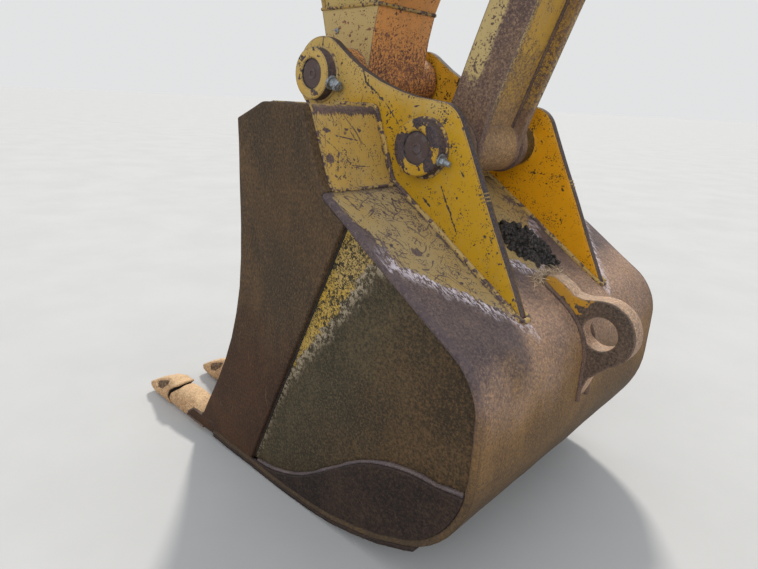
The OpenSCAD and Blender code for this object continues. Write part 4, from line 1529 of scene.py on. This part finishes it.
@dataclass
class ToothRow:
    """The adapters on the lip and the teeth on them, in millimetres."""

    first: float = 617.0
    pitch: float = 308.5
    count: int = 5
    front: float = 322.0
    lean: float = 44.0
    tip: float = 625.0
    rear: float = 74.0
    gap: float = 7.0
    pocket: float = 9.0
    dip: float = 13.0
    roll: float = 4.5
    swell: float = 5.0
    cap_rings: int = 34
    adapter_rings: int = 26
    square: float = 0.70
    tip_square: float = 0.34
    adapter_square: float = 0.66

    def place(self, tooth: int) -> Matrix:
        """Returns the matrix from a tooth's own millimetres (forward, across, up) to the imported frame."""
        x, z = metres([beyond(LIP_POSE, 0, 0)])[0]
        heading = math.radians(LIP_POSE[2])
        ahead = Vector((math.cos(heading), 0, math.sin(heading)))
        up = Vector((math.sin(heading), 0, -math.cos(heading)))
        matrix = Matrix.Identity(4)
        for row in range(3):
            for column, axis in enumerate((ahead, Vector(ACROSS), up)):
                matrix[row][column] = axis[row] / 1000
        matrix.translation = Vector((x, (-self.first + tooth * self.pitch) / 1000.0, z))
        return matrix

    def build(self, frame: dict, looks: Finishes) -> None:
        """Draws the adapters and the teeth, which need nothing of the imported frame."""
        caps = Piece("tooth_caps", Body.BUCKET, Slot.TOOTH, looks.tooth, looks.gap, looks.pocket)
        adapters = Piece("adapter_castings", Body.BUCKET, Slot.TOOTH, looks.tooth, looks.gap)
        beads = Piece("adapter_welds", Body.BUCKET, Slot.RUST, looks.bead)
        for tooth in range(self.count):
            place = self.place(tooth)
            self.cap(caps, place, tooth)
            self.adapter(adapters, place, tooth)
            self.welds(beads, place)
        caps.finish("teeth", sharp=38)
        adapters.finish("adapters", sharp=38)
        beads.finish()

    def rim(self, across: float, level: float) -> float:
        """Returns how far ahead the joint between adapter and tooth lies, which bows forward at the sides."""
        return self.front + self.lean * (1 - level) + 40.0 * abs(across) ** 3 * (1 - level * level)

    def tooth_section(self, ahead: float) -> tuple[float, float, float]:
        """Returns half width, top and bottom of a tooth at a distance ahead of the lip's rear edge."""
        top = curve(
            ahead, ((320, 112), (342, 116), (400, 118), (450, 105), (525, 68), (590, 35), (self.tip, 14)),
        )
        low = curve(ahead, ((342, -34), (414, -36), (520, -35), (560, -34), (600, -24), (self.tip, -13)))
        half = curve(ahead, ((320, 61), (360, 62), (456, 61), (self.tip, 46)))
        return half, top, low

    def adapter_section(self, ahead: float) -> tuple[float, float, float]:
        """Returns half width, top and bottom of an adapter at a distance ahead of the lip's rear edge."""
        top = curve(
            ahead, ((74, 44), (92, 66), (108, 84), (150, 99), (220, 105), (270, 104), (342, 97), (440, 84)),
        )
        low = curve(ahead, ((74, -3), (92, -20), (280, -32), (440, -32)))
        half = curve(ahead, ((74, 50), (100, 56), (240, 58), (330, 56), (440, 54)))
        return half, top, low

    def sunk(self, ahead: float, u: float, v: float) -> float:
        """Returns how far a point is sunk, as a share, in the two pockets on the tooth's shoulders."""
        low = curve(ahead, ((410, 0.66), (505, -0.08), (556, 0.42)))
        return bump(ahead, 404, 562, 20) * bump(v, low - 0.10, 1.02, 0.16) * bump(abs(u), 0.30, 2.0, 0.14)

    def cap(self, piece: Piece, place: Matrix, tooth: int) -> None:
        """Adds one tooth with its pockets and a rolled rim round its back."""
        depths: list[float] = []

        def wear(ahead: float, u: float, v: float) -> tuple[float, float]:
            """Returns the pocket's depth and the worn surface's lift."""
            deep = self.sunk(ahead, u, v)
            depths.append(deep)
            rough = noise.noise(Vector((ahead / 55.0, tooth * 5.3 + u, v * 1.6)))
            roll = self.roll * math.exp(-((ahead - self.rim(u, v) - 9.0) / 8.0) ** 2)
            return self.pocket * deep - roll + rough * 1.2, rough * 2.4 + roll * v * 0.8 - self.dip * deep

        casting = Casting(piece, place, self.tooth_section, wear)
        for ahead, shrink in ((9.0, 9.0), (1.0, 6.0), (0.0, 2.5)):
            casting.ring(lambda u, v, f=ahead: self.rim(u, v) + f, self.square, shrink)
        for k in range(1, self.cap_rings + 1):
            share = (k - 0.4) / self.cap_rings
            power = self.square - 0.36 * share
            casting.ring(lambda u, v, s=share: self.rim(u, v) + (self.tip - 5.0 - self.rim(u, v)) * s, power)
        for back, shrink in ((3.0, 1.0), (1.0, 3.5), (0.0, 7.0)):
            casting.ring(lambda u, v, f=self.tip - back: f, self.tip_square, shrink, worn=False)
        # the rim's back band and end face take the gap's painted shade
        casting.close(0)
        # faces deep in the pockets take the pockets' painted shade
        vertices = [v for ring in casting.rings for v in ring]
        sunk = {v for v, depth in zip(vertices, depths) if depth > 0.55}
        for face in {f for v in sunk for f in v.link_faces}:
            if all(v in sunk for v in face.verts):
                face.material_index = POCKET_SHADE

    def adapter(self, piece: Piece, place: Matrix, tooth: int) -> None:
        """Adds one adapter, which grips the lip and swells ahead of it."""

        def wear(ahead: float, u: float, v: float) -> tuple[float, float]:
            """Returns the swell of the sides and top, and their worn surface."""
            swell = self.swell * bump(ahead, 200, 420, 80)
            rough = noise.noise(Vector((ahead / 45.0, tooth * 3.1 + u * 1.3, v * 1.6)))
            return -swell * (1 - v * v) + rough * 1.4, swell * (1 - u * u) * v + rough * 2.0

        casting = Casting(piece, place, self.adapter_section, wear)
        casting.ring(lambda u, v: self.rear, self.adapter_square, 5.0)
        start = self.rear + 2.0
        for k in range(self.adapter_rings + 1):
            share = k / self.adapter_rings
            casting.ring(
                lambda u, v, s=share: start + (self.rim(u, v) - self.gap - self.rear - 2.0) * s,
                self.adapter_square,
            )
        casting.ring(lambda u, v: self.rim(u, v) - self.gap + 2.0, self.adapter_square, 3.0)
        casting.ring(lambda u, v: self.rim(u, v) + 4.0, self.adapter_square, 12.0)
        # the front band and end face take the gap's painted shade
        casting.close(-1)

    def welds(self, piece: Piece, place: Matrix) -> None:
        """Lays the beads between one adapter and the lip."""
        for y in (-56.0, 56.0):
            slope = [(84, 61), (159, 61), (205, 28), (222, 0)]
            piece.bead([place @ Vector((f, y, n)) for f, n in slope], 0.006)
            piece.bead([place @ Vector((80, y, -1)), place @ Vector((214, y, -1))], 0.006)
        piece.bead([place @ Vector((90, -50.0, 62)), place @ Vector((90, 50.0, 62))], 0.007)


def curve(value: float, points: Sequence[Flat]) -> float:
    """Returns the value read from a list of points joined by straight lines, and held at the ends."""
    if value <= points[0][0]:
        return points[0][1]
    for (a, u), (b, v) in zip(points, points[1:]):
        if value <= b:
            return u + (v - u) * (value - a) / (b - a)
    return points[-1][1]


def bump(value: float, low: float, high: float, soft: float) -> float:
    """Returns 1 between low and high and 0 outside, with soft ends."""
    rise = min(1.0, max(0.0, (value - low) / soft))
    fall = min(1.0, max(0.0, (high - value) / soft))
    return (rise * rise * (3 - 2 * rise)) * (fall * fall * (3 - 2 * fall))


@dataclass
class LiftingEye:
    """The eye on the bucket's back, with its beads."""

    half: float = 0.035
    start: Leg = (550, 0)
    seat: tuple[Leg, ...] = ((115, 0), (218, -56.7), (155, 0))
    plate: WornPlate = field(
        default_factory=lambda: WornPlate(bevel=0.009, segments=3, grid=0.03, dent=0.002)
    )

    def build(self, frame: dict, looks: Finishes) -> None:
        """Draws the eye and its welds."""
        self.plate.draw("lifting_eye", Body.BUCKET, Slot.RUST, looks.eye, frame)
        piece = Piece("lifting_eye_welds", Body.BUCKET, Slot.RUST, looks.bead)
        seat = beside(trace(leg_end(BEND_POSE, self.start), self.seat), -2.0)
        for side in (-1, 1):
            piece.bead(run_at(seat, side * (self.half + 0.003)), 0.011)
        piece.finish()


@dataclass
class DirtClump:
    """Black earth and dry grass caught on the bucket's back between the ears."""

    first: float = 0.270
    last: float = 0.505
    near: float = -0.035
    far: float = 0.150
    step: float = 0.005
    tall: float = 0.046
    crumbs: int = 420
    blades: int = 95
    seed: int = 11

    def build(self, looks: Finishes) -> None:
        """Draws the caked earth, its crumbs and the grass in it."""
        rng = random.Random(self.seed)
        earth = Piece("caught_earth", Body.BUCKET, Slot.RUST, looks.earth)
        straw = Piece("caught_grass", Body.BUCKET, Slot.RUST, looks.straw)
        self.cake(earth)
        for _ in range(self.crumbs):
            down = rng.uniform(self.first - 0.02, self.last + 0.02)
            across = rng.uniform(self.near - 0.02, self.far + 0.02)
            height = self.height(down, across)
            if height > -0.012:
                self.crumb(earth, self.spot(down, across, max(height, 0.0)), rng.uniform(0.003, 0.014), rng)
        for _ in range(self.blades):
            down = self.last + 0.030 + rng.gauss(0.0, 0.014)
            across = min(0.16, max(-0.10, 0.02 + rng.gauss(0.0, 0.055)))
            self.blade(straw, self.spot(down, across, max(0.0, self.height(down, across))), rng)
        earth.finish(sharp=80)
        straw.finish(sharp=80)

    def spot(self, down: float, across: float, height: float) -> Vector:
        """Returns the place at a distance down the back, across it and above it."""
        return Vector(BEND) + Vector(DOWN_BACK) * down + Vector((0, across, 0)) + Vector(OUT_BACK) * height

    def height(self, down: float, across: float) -> float:
        """Returns how high the caked earth stands, which is below 0 outside it."""
        u = (down - (self.first + self.last) / 2) / ((self.last - self.first) / 2)
        slide = 0.045 * u
        v = (across - slide - (self.near + self.far) / 2) / ((self.far - self.near) / 2)
        body = 1.0 - (abs(u) ** 2.6 + abs(v) ** 2.2)
        rough = noise.fractal(Vector((down * 26.0, across * 26.0, 4.7)), 0.7, 2.1, 5)
        return self.tall * (0.80 * body + 0.75 * rough)

    def cake(self, piece: Piece) -> None:
        """Adds the caked earth as one rough sheet that dives into the plate at its rim."""
        rows = int((self.last - self.first + 0.08) / self.step)
        columns = int((self.far - self.near + 0.12) / self.step)
        grid = []
        for r in range(rows):
            line = []
            for c in range(columns):
                down = self.first - 0.04 + r * self.step
                across = self.near - 0.06 + c * self.step
                height = max(self.height(down, across), -0.006)
                line.append(piece.mesh.verts.new(self.spot(down, across, height)))
            grid.append(line)
        for r in range(rows - 1):
            for c in range(columns - 1):
                corners = (grid[r][c], grid[r + 1][c], grid[r + 1][c + 1], grid[r][c + 1])
                if any((v.co - Vector(BEND)).dot(Vector(OUT_BACK)) > -0.005 for v in corners):
                    piece.mesh.faces.new(corners)
        bmesh.ops.delete(piece.mesh, geom=[v for v in piece.mesh.verts if not v.link_faces], context="VERTS")

    def crumb(self, piece: Piece, centre: Vector, size: float, rng: random.Random) -> None:
        """Adds one crumb of earth."""
        made = bmesh.ops.create_icosphere(piece.mesh, subdivisions=1, radius=size)
        for vertex in made["verts"]:
            vertex.co = centre + vertex.co * rng.uniform(0.6, 1.25)

    def blade(self, piece: Piece, root: Vector, rng: random.Random) -> None:
        """Adds one blade of dry grass."""
        along, out = Vector(DOWN_BACK), Vector(OUT_BACK)
        heading = rng.gauss(1.3, 0.9)
        ahead = (along * math.cos(heading) + Vector((0, 1, 0)) * math.sin(heading)).normalized()
        side = ahead.cross(out).normalized()
        length, wide, lift = rng.uniform(0.03, 0.10), rng.uniform(0.0006, 0.0014), rng.uniform(0.0, 0.022)
        rings = []
        for k in range(6):
            t = k / 5.0
            bowed = root + ahead * length * (t - 0.4) + out * (lift * 4 * t * (1 - t) + 0.002)
            centre = bowed + side * 0.014 * math.sin(t * 2.5 + heading)
            w = wide * (1 - 0.8 * t)
            rings.append([piece.mesh.verts.new(centre + d) for d in (side * w, out * w, -side * w, -out * w)])
        for a, b in zip(rings, rings[1:]):
            piece.band(a, b)
        piece.mesh.faces.new(list(reversed(rings[0])))
        piece.mesh.faces.new(rings[-1])


NIPPLE: tuple[Flat, ...] = (
    (0, 0), (0.0085, 0), (0.0085, 0.006), (0.005, 0.0075), (0.005, 0.012), (0.0038, 0.0135), (0.0045, 0.0165),
    (0.003, 0.019), (0, 0.0195),
)


def circle(centre: Flat, y: float, radius: float) -> list[Vector]:
    """Returns a closed circle round a pin's axis, at a width y."""
    angles = [math.tau * k / RING_SIDES for k in range(RING_SIDES + 1)]
    return [Vector((centre[0] + radius * math.cos(a), y, centre[1] + radius * math.sin(a))) for a in angles]


def bolt(piece: Piece, place: Matrix, size: float, washer: bool = True) -> None:
    """Adds a hexagon bolt head on a washer, standing on a face."""
    lift = 0.0
    if washer:
        lift = size * 0.14
        piece.lathe(
            [(0, 0), (size * 0.98, 0), (size * 0.98, lift * 0.7), (size * 0.92, lift), (0, lift)], place, 24,
        )
    top = lift + size * 0.62
    profile = [(0, lift), (size * 0.86, lift), (size * 0.86, top - size * 0.1), (size * 0.74, top), (0, top)]
    piece.lathe(profile, place, 6, twist=0.3)


def bolt_spots(centre: Flat, y: float, reach: float, turn: float) -> list[Point]:
    """Returns the places of three bolts round a pin's axis, at a width y and turned by some radians."""
    angles = [math.tau * k / 3 + turn for k in range(3)]
    return [(centre[0] + reach * math.cos(a), y, centre[1] + reach * math.sin(a)) for a in angles]


def nipple(piece: Piece, place: Matrix) -> None:
    """Adds a grease nipple standing on a face."""
    piece.lathe(NIPPLE, place, 18)


@dataclass
class Stick:
    """The stick's welded box, its nose casting, bosses and brackets."""

    half: float = 0.170
    flange: float = 0.020
    nose: float = -3.12
    boss_ring: float = 0.153
    rocker_ring: float = 0.0885
    front: tuple[Flat, ...] = (
        (0.250, -3.12), (0.333, -2.93), (0.340, -2.76), (0.348, -2.23), (0.410, -1.68), (0.503, -1.06),
        (0.515, -0.77), (0.515, -0.38), (0.455, 0.08), (0.390, 0.33), (0.320, 0.60),
    )
    rear: tuple[Flat, ...] = (
        (-0.072, -3.12), (-0.125, -2.93), (-0.162, -2.76), (-0.208, -2.23), (-0.230, -1.68), (-0.235, -1.06),
        (-0.242, -0.77), (-0.246, -0.38), (-0.222, 0.08), (-0.120, 0.33), (0.040, 0.60),
    )
    plate: WornPlate = field(default_factory=lambda: WornPlate(bevel=0.004, grid=0.12, dent=0.0016))

    def build(self, frame: dict, looks: Finishes) -> None:
        """Draws the plates, castings, welds and fittings."""
        for node in ("stick_side_left", "stick_side_right", "stick_rear_plate", "stick_end_plate"):
            self.plate.draw(node, Body.STICK, Slot.RUSTED_YELLOW, looks.stick, frame)
        for node in ("stick_front_plate", "stick_nose"):
            self.plate.draw(node, Body.STICK, Slot.RUSTED_YELLOW, looks.stick_front, frame)
        casting = WornPlate(bevel=0.006, segments=3, grid=0.0, dent=0.0)
        for node in ("boom_boss", "rocker_tube", "upper_ears", "cylinder_bracket"):
            casting.draw(node, Body.STICK, Slot.YELLOW, looks.stick, frame)
        for node in ("cylinder_base_pin", "rocker_pin"):
            casting.draw(node, Body.STICK, Slot.PIN, looks.pin, frame)
        WornPlate(bevel=0.0035, segments=3, grid=0.0, dent=0.0).draw(
            "nose_seals", Body.STICK, Slot.SEAL, looks.seal, frame,
        )
        self.welds(looks)
        self.fittings(looks)

    def welds(self, looks: Finishes) -> None:
        """Lays the long seams, the nose's weld and the bosses' rings."""
        piece = Piece("stick_welds", Body.STICK, Slot.RUSTED_YELLOW, looks.painted_bead)
        for side in (-1, 1):
            y = side * (self.half + 0.001)
            for line, inward in ((self.front, -self.flange), (self.rear, self.flange)):
                piece.bead([Vector((x + inward, y, z)) for x, z in line], 0.005)
            piece.seam((self.front[0][0], y, self.nose), (self.rear[0][0], y, self.nose), 0.007)
            piece.bead(circle((0, 0), y, self.boss_ring), 0.009, closed=True)
            piece.bead(circle(ROCKER_PIN, y, self.rocker_ring), 0.005, closed=True)
            for width in (0.100, 0.150):
                piece.seam((0.060, side * width, 0.601), (0.300, side * width, 0.601), 0.009)
            for width in (0.064, 0.104):
                piece.seam((0.516, side * width, -0.676), (0.516, side * width, -0.398), 0.009)
        for line, out in ((self.front, 0.001), (self.rear, -0.001)):
            x = line[0][0] + out
            piece.seam((x, -self.half, self.nose), (x, self.half, self.nose), 0.008)
        piece.finish()

    def fittings(self, looks: Finishes) -> None:
        """Fits the bolts that keep the pins, and the grease nipples."""
        piece = Piece("stick_fittings", Body.STICK, Slot.PIN, looks.bolt)
        for side in (-1, 1):
            out = (0, side, 0)
            for centre, y, reach in ((ROCKER_PIN, 0.248, 0.040), (BASE_PIN, 0.116, 0.028)):
                for spot in bolt_spots(centre, side * y, reach, 0.5):
                    bolt(piece, upright(spot, out), 0.015)
            nipple(piece, upright((BASE_PIN[0], side * 0.116, BASE_PIN[1]), out))
            nipple(piece, upright((BUCKET_PIN[0] - 0.075, side * self.half, BUCKET_PIN[1] + 0.175), out))
            nipple(piece, upright((0.0, side * 0.2495, 0.105), out))
        piece.finish()


@dataclass
class Linkage:
    """The two rockers and the link between the stick, the cylinder and the bucket."""

    width: float = 0.300
    rocker_in: float = 0.182
    rocker_thick: float = 0.055
    lean: float = 20.5

    def build(self, frame: dict, looks: Finishes) -> None:
        """Draws the rockers and the link with their pins."""
        forged = WornPlate(bevel=0.007, segments=3, grid=0.05, dent=0.0012)
        for node in ("rocker_left", "rocker_right"):
            forged.draw(node, Body.ROCKERS, Slot.YELLOW, looks.stick, frame)
        forged.draw("link", Body.LINK, Slot.RUSTED_YELLOW, looks.link, frame)
        turned = WornPlate(bevel=0.004, grid=0.0, dent=0.0)
        turned.draw("rocker_tip_pins", Body.ROCKERS, Slot.PIN, looks.pin, frame)
        turned.draw("link_tip_pins", Body.LINK, Slot.PIN, looks.pin, frame)
        self.rocker_trim(looks)
        self.link_welds(looks)

    def rocker_trim(self, looks: Finishes) -> None:
        """Fits the bolts and nipples on the rockers."""
        piece = Piece("rocker_fittings", Body.ROCKERS, Slot.PIN, looks.bolt)
        outer = self.rocker_in + self.rocker_thick
        for side in (-1, 1):
            out = (0, side, 0)
            for spot in bolt_spots(TIP_PIN, side * (outer + 0.006), 0.040, 0.2):
                bolt(piece, upright(spot, out), 0.015)
            nipple(piece, upright((ROCKER_PIN[0] + 0.080, side * outer, ROCKER_PIN[1] - 0.004), out))
            nipple(piece, upright((TIP_PIN[0] - 0.080, side * outer, TIP_PIN[1] - 0.004), out))
        piece.finish()

    def link_welds(self, looks: Finishes) -> None:
        """Lays the beads between the link's block and its side plates."""
        piece = Piece("link_welds", Body.LINK, Slot.RUSTED_YELLOW, looks.bead)
        lean = math.radians(self.lean)
        ahead = Vector((math.sin(lean), 0, math.cos(lean)))
        across = Vector((math.cos(lean), 0, -math.sin(lean)))
        foot = Vector((LINK_PIN[0], 0, LINK_PIN[1]))
        inner = self.width / 2 - 0.028
        for side in (-1, 1):
            y = Vector((0, side * (inner - 0.002), 0))
            for face in (-0.036, 0.036):
                piece.bead([foot + y + across * face + ahead * t for t in (0.090, 0.5475)], 0.008)
            piece.bead([foot + y + across * face + ahead * 0.549 for face in (-0.035, 0.035)], 0.008)
            piece.bead(circle(LINK_PIN, side * (self.width / 2 + 0.001), 0.0985), 0.007, closed=True)
        piece.finish()


@dataclass
class BucketCylinder:
    """The bucket cylinder: barrel, gland, pipe, rod and eyes."""

    barrel: float = 0.0975
    length: float = 1.640
    gland: float = 0.070
    rod: float = 0.055
    wiper_gap: float = 0.0008
    bolt_ring: float = 0.088
    gland_bolts: int = 10

    def along(self) -> Vector:
        """Returns the direction from the base pin to the tip pin."""
        return Vector((TIP_PIN[0] - BASE_PIN[0], 0, TIP_PIN[1] - BASE_PIN[1])).normalized()

    def out(self, angle: float) -> Vector:
        """Returns the direction square to the axis at an angle round it."""
        side, up = Vector(ACROSS), self.along().cross(Vector(ACROSS))
        return side * math.cos(angle) + up * math.sin(angle)

    def ring(self, centre: Vector, radius: float) -> list[Vector]:
        """Returns a closed circle round the axis."""
        return [centre + self.out(math.tau * k / RING_SIDES) * radius for k in range(RING_SIDES + 1)]

    def build(self, frame: dict, looks: Finishes) -> None:
        """Draws the cylinder's parts and fittings."""
        cast = WornPlate(bevel=0.005, segments=3, grid=0.0, dent=0.0)
        cast.draw("barrel", Body.BARREL, Slot.YELLOW, looks.cylinder, frame)
        cast.draw("gland", Body.BARREL, Slot.PIN, looks.pin, frame)
        WornPlate(bevel=0.002, grid=0.0, dent=0.0).draw(
            "barrel_pipe", Body.BARREL, Slot.PIN, looks.pin, frame,
        )
        cast.draw("rod_eye", Body.ROD, Slot.YELLOW, looks.cylinder, frame)
        cast.draw("rod_tip_pin", Body.ROD, Slot.PIN, looks.pin, frame)
        WornPlate(bevel=0.001, grid=0.0, dent=0.0).draw("rod", Body.ROD, Slot.CHROME, looks.chrome, frame)
        self.barrel_trim(looks)
        self.rod_trim(looks)

    def barrel_trim(self, looks: Finishes) -> None:
        """Fits the gland's bolts and wiper, the weld rings and the ports."""
        ahead = self.along()
        base = Vector((BASE_PIN[0], 0, BASE_PIN[1]))
        welds = Piece("barrel_welds", Body.BARREL, Slot.YELLOW, looks.painted_bead)
        for reach, radius in ((0.112, 0.0965), (self.length - 0.02, self.barrel - 0.001)):
            welds.bead(self.ring(base + ahead * reach, radius), 0.007, closed=True)
        welds.finish()
        piece = Piece("barrel_fittings", Body.BARREL, Slot.PIN, looks.bolt, looks.pin, looks.seal)
        face = base + ahead * (self.length + self.gland)
        for k in range(self.gland_bolts):
            around = self.out(math.tau * (k + 0.5) / self.gland_bolts)
            bolt(piece, upright(face + around * self.bolt_ring, ahead), 0.0125, washer=False)
        clear = self.rod + self.wiper_gap
        lip = (
            (0.0, 0.0), (0.018, 0.0), (0.018, 0.004), (0.013, 0.009), (0.004, 0.010), (0.0, 0.006),
            (0.0, 0.0),
        )
        piece.lathe([(clear + r, h) for r, h in lip], upright(face, ahead), 64, 2)
        for reach in (0.260, self.length - 0.060):
            self.port(piece, base + ahead * reach)
        nipple(piece, upright(base - ahead * 0.0895, -ahead))
        piece.finish()

    def port(self, piece: Piece, centre: Vector) -> None:
        """Adds a port with its four bolts on the barrel's rear side."""
        ahead, side = self.along(), Vector(ACROSS)
        out = ahead.cross(side) * -1
        seat = centre + out * (self.barrel - 0.003)
        piece.lathe(
            [(0, 0), (0.034, 0), (0.034, 0.014), (0.031, 0.017), (0.0155, 0.017)], upright(seat, out), 32, 1,
        )
        for k in range(4):
            a = math.tau * (k + 0.5) / 4
            spot = seat + out * 0.017 + (side * math.cos(a) + ahead * math.sin(a)) * 0.025
            bolt(piece, upright(spot, out), 0.0062, washer=False)

    def rod_trim(self, looks: Finishes) -> None:
        """Lays the rod eye's weld and fits its nipple."""
        ahead = self.along()
        tip = Vector((TIP_PIN[0], 0, TIP_PIN[1]))
        up = ahead.cross(Vector(ACROSS))
        welds = Piece("rod_eye_weld", Body.ROD, Slot.YELLOW, looks.painted_bead)
        welds.bead(self.ring(tip - ahead * 0.086, 0.054), 0.008, closed=True)
        welds.finish()
        piece = Piece("rod_eye_nipple", Body.ROD, Slot.PIN, looks.bolt)
        nipple(piece, upright(tip + up * -0.0915, -up))
        piece.finish()


@dataclass
class Studio:
    """The floor, the lights and the camera."""

    eye: Point = (1.865, -1.875, -3.470)
    right: Point = (0.7295, 0.6825, 0.0456)
    up: Point = (-0.2407, 0.1938, 0.9510)
    lens: float = 27.02
    key_from: Point = (-0.50, 0.80, 0.95)
    key_power: float = 3.0
    fill_from: Point = (0.55, -0.85, 0.35)
    fill_power: float = 1.15
    sky: Colour = (0.93, 0.96, 1.0)
    sky_power: float = 0.92
    backdrop: Colour = (0.76, 0.77, 0.775)
    floor_colour: Colour = (0.44, 0.44, 0.435)
    floor_size: float = 400.0
    floor_gap: float = 0.001

    def build(self) -> None:
        """Builds the floor, the lights and the camera."""
        self.floor()
        self.world()
        self.lamp("key", self.key_from, self.key_power, 7.0, (1.0, 0.955, 0.89))
        self.lamp("fill", self.fill_from, self.fill_power, 60.0, (0.95, 0.97, 1.0))
        self.camera()

    def floor(self) -> None:
        """Lays the pale floor under the object's lowest point."""
        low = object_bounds()[0][2]
        mesh = bmesh.new()
        bmesh.ops.create_grid(mesh, x_segments=8, y_segments=8, size=self.floor_size)
        data = bpy.data.meshes.new("floor")
        mesh.to_mesh(data)
        mesh.free()
        floor = bpy.data.objects.new("floor", data)
        floor.location = (0, 0, low - self.floor_gap)
        material, g, shader = new_material("pale_floor")
        cloud = g.noise(g.place(), 1.1, 5.0, 0.6)
        pale = tuple(c * 1.06 for c in self.floor_colour)
        g.set(shader, Base_Color=g.mix(g.fit(cloud, 0.3, 0.7), self.floor_colour, pale))
        g.set(shader, Roughness=0.95, Specular_IOR_Level=0.1)
        data.materials.append(material)
        bpy.context.scene.collection.objects.link(floor)
        floor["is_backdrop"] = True

    def world(self) -> None:
        """Sets the even sky, and the pale backdrop that the camera and gloss see."""
        world = bpy.data.worlds.new("studio_sky")
        world.use_nodes = True
        g = Graph(world.node_tree)
        sky = world.node_tree.nodes["Background"]
        shown = g.set(g.add("ShaderNodeBackground"), Color=self.backdrop, Strength=1.0)
        g.set(sky, Color=self.sky, Strength=self.sky_power)
        rays = g.add("ShaderNodeLightPath")
        seen = g.most(
            *(rays.outputs[name] for name in ("Is Camera Ray", "Is Glossy Ray", "Is Transmission Ray"))
        )
        choose = g.add("ShaderNodeMixShader")
        g.feed(choose.inputs[0], seen)
        g.feed(choose.inputs[1], sky.outputs[0])
        g.feed(choose.inputs[2], shown.outputs[0])
        g.set(world.node_tree.nodes["World Output"], Surface=choose.outputs[0])
        bpy.context.scene.world = world

    def lamp(self, name: str, direction: Point, power: float, spread: float, colour: Colour) -> None:
        """Hangs a far lamp.

        Args:
            name: Its name.
            direction: Where its light comes from.
            power: Its strength on a facing surface.
            spread: How wide it looks, in degrees, which softens its shadows.
            colour: Its colour.
        """
        data = bpy.data.lights.new(name, "SUN")
        data.energy, data.color, data.angle = power, colour, math.radians(spread)
        lamp = bpy.data.objects.new(name, data)
        lamp.rotation_euler = Vector(direction).normalized().to_track_quat("Z", "Y").to_euler()
        bpy.context.scene.collection.objects.link(lamp)

    def camera(self) -> None:
        """Sets the camera at the photograph's place."""
        data = bpy.data.cameras.new("camera")
        data.lens, data.sensor_width, data.sensor_fit = self.lens, 36.0, "HORIZONTAL"
        data.clip_start = 0.02
        camera = bpy.data.objects.new("camera", data)
        right, up = Vector(self.right).normalized(), Vector(self.up).normalized()
        back = right.cross(up).normalized()
        up = back.cross(right).normalized()
        turn = Matrix((right, up, back)).transposed().to_4x4()
        camera.matrix_world = Matrix.Translation(Vector(self.eye)) @ turn
        bpy.context.scene.collection.objects.link(camera)
        bpy.context.scene.camera = camera


DENT_SEED: int = 8


def main() -> None:
    """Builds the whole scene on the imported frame."""
    logging.basicConfig(level=logging.INFO, format="%(message)s")
    noise.seed_set(DENT_SEED)
    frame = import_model()
    bpy.context.scene.view_settings.view_transform = "Standard"
    looks = Finishes()
    studio = Studio()
    studio.build()
    for assembly in (BucketShell(), Ears(), ToothRow(), LiftingEye(), Stick(), Linkage(), BucketCylinder()):
        assembly.build(frame, looks)
    DirtClump().build(looks)


if __name__ == "__main__":
    main()
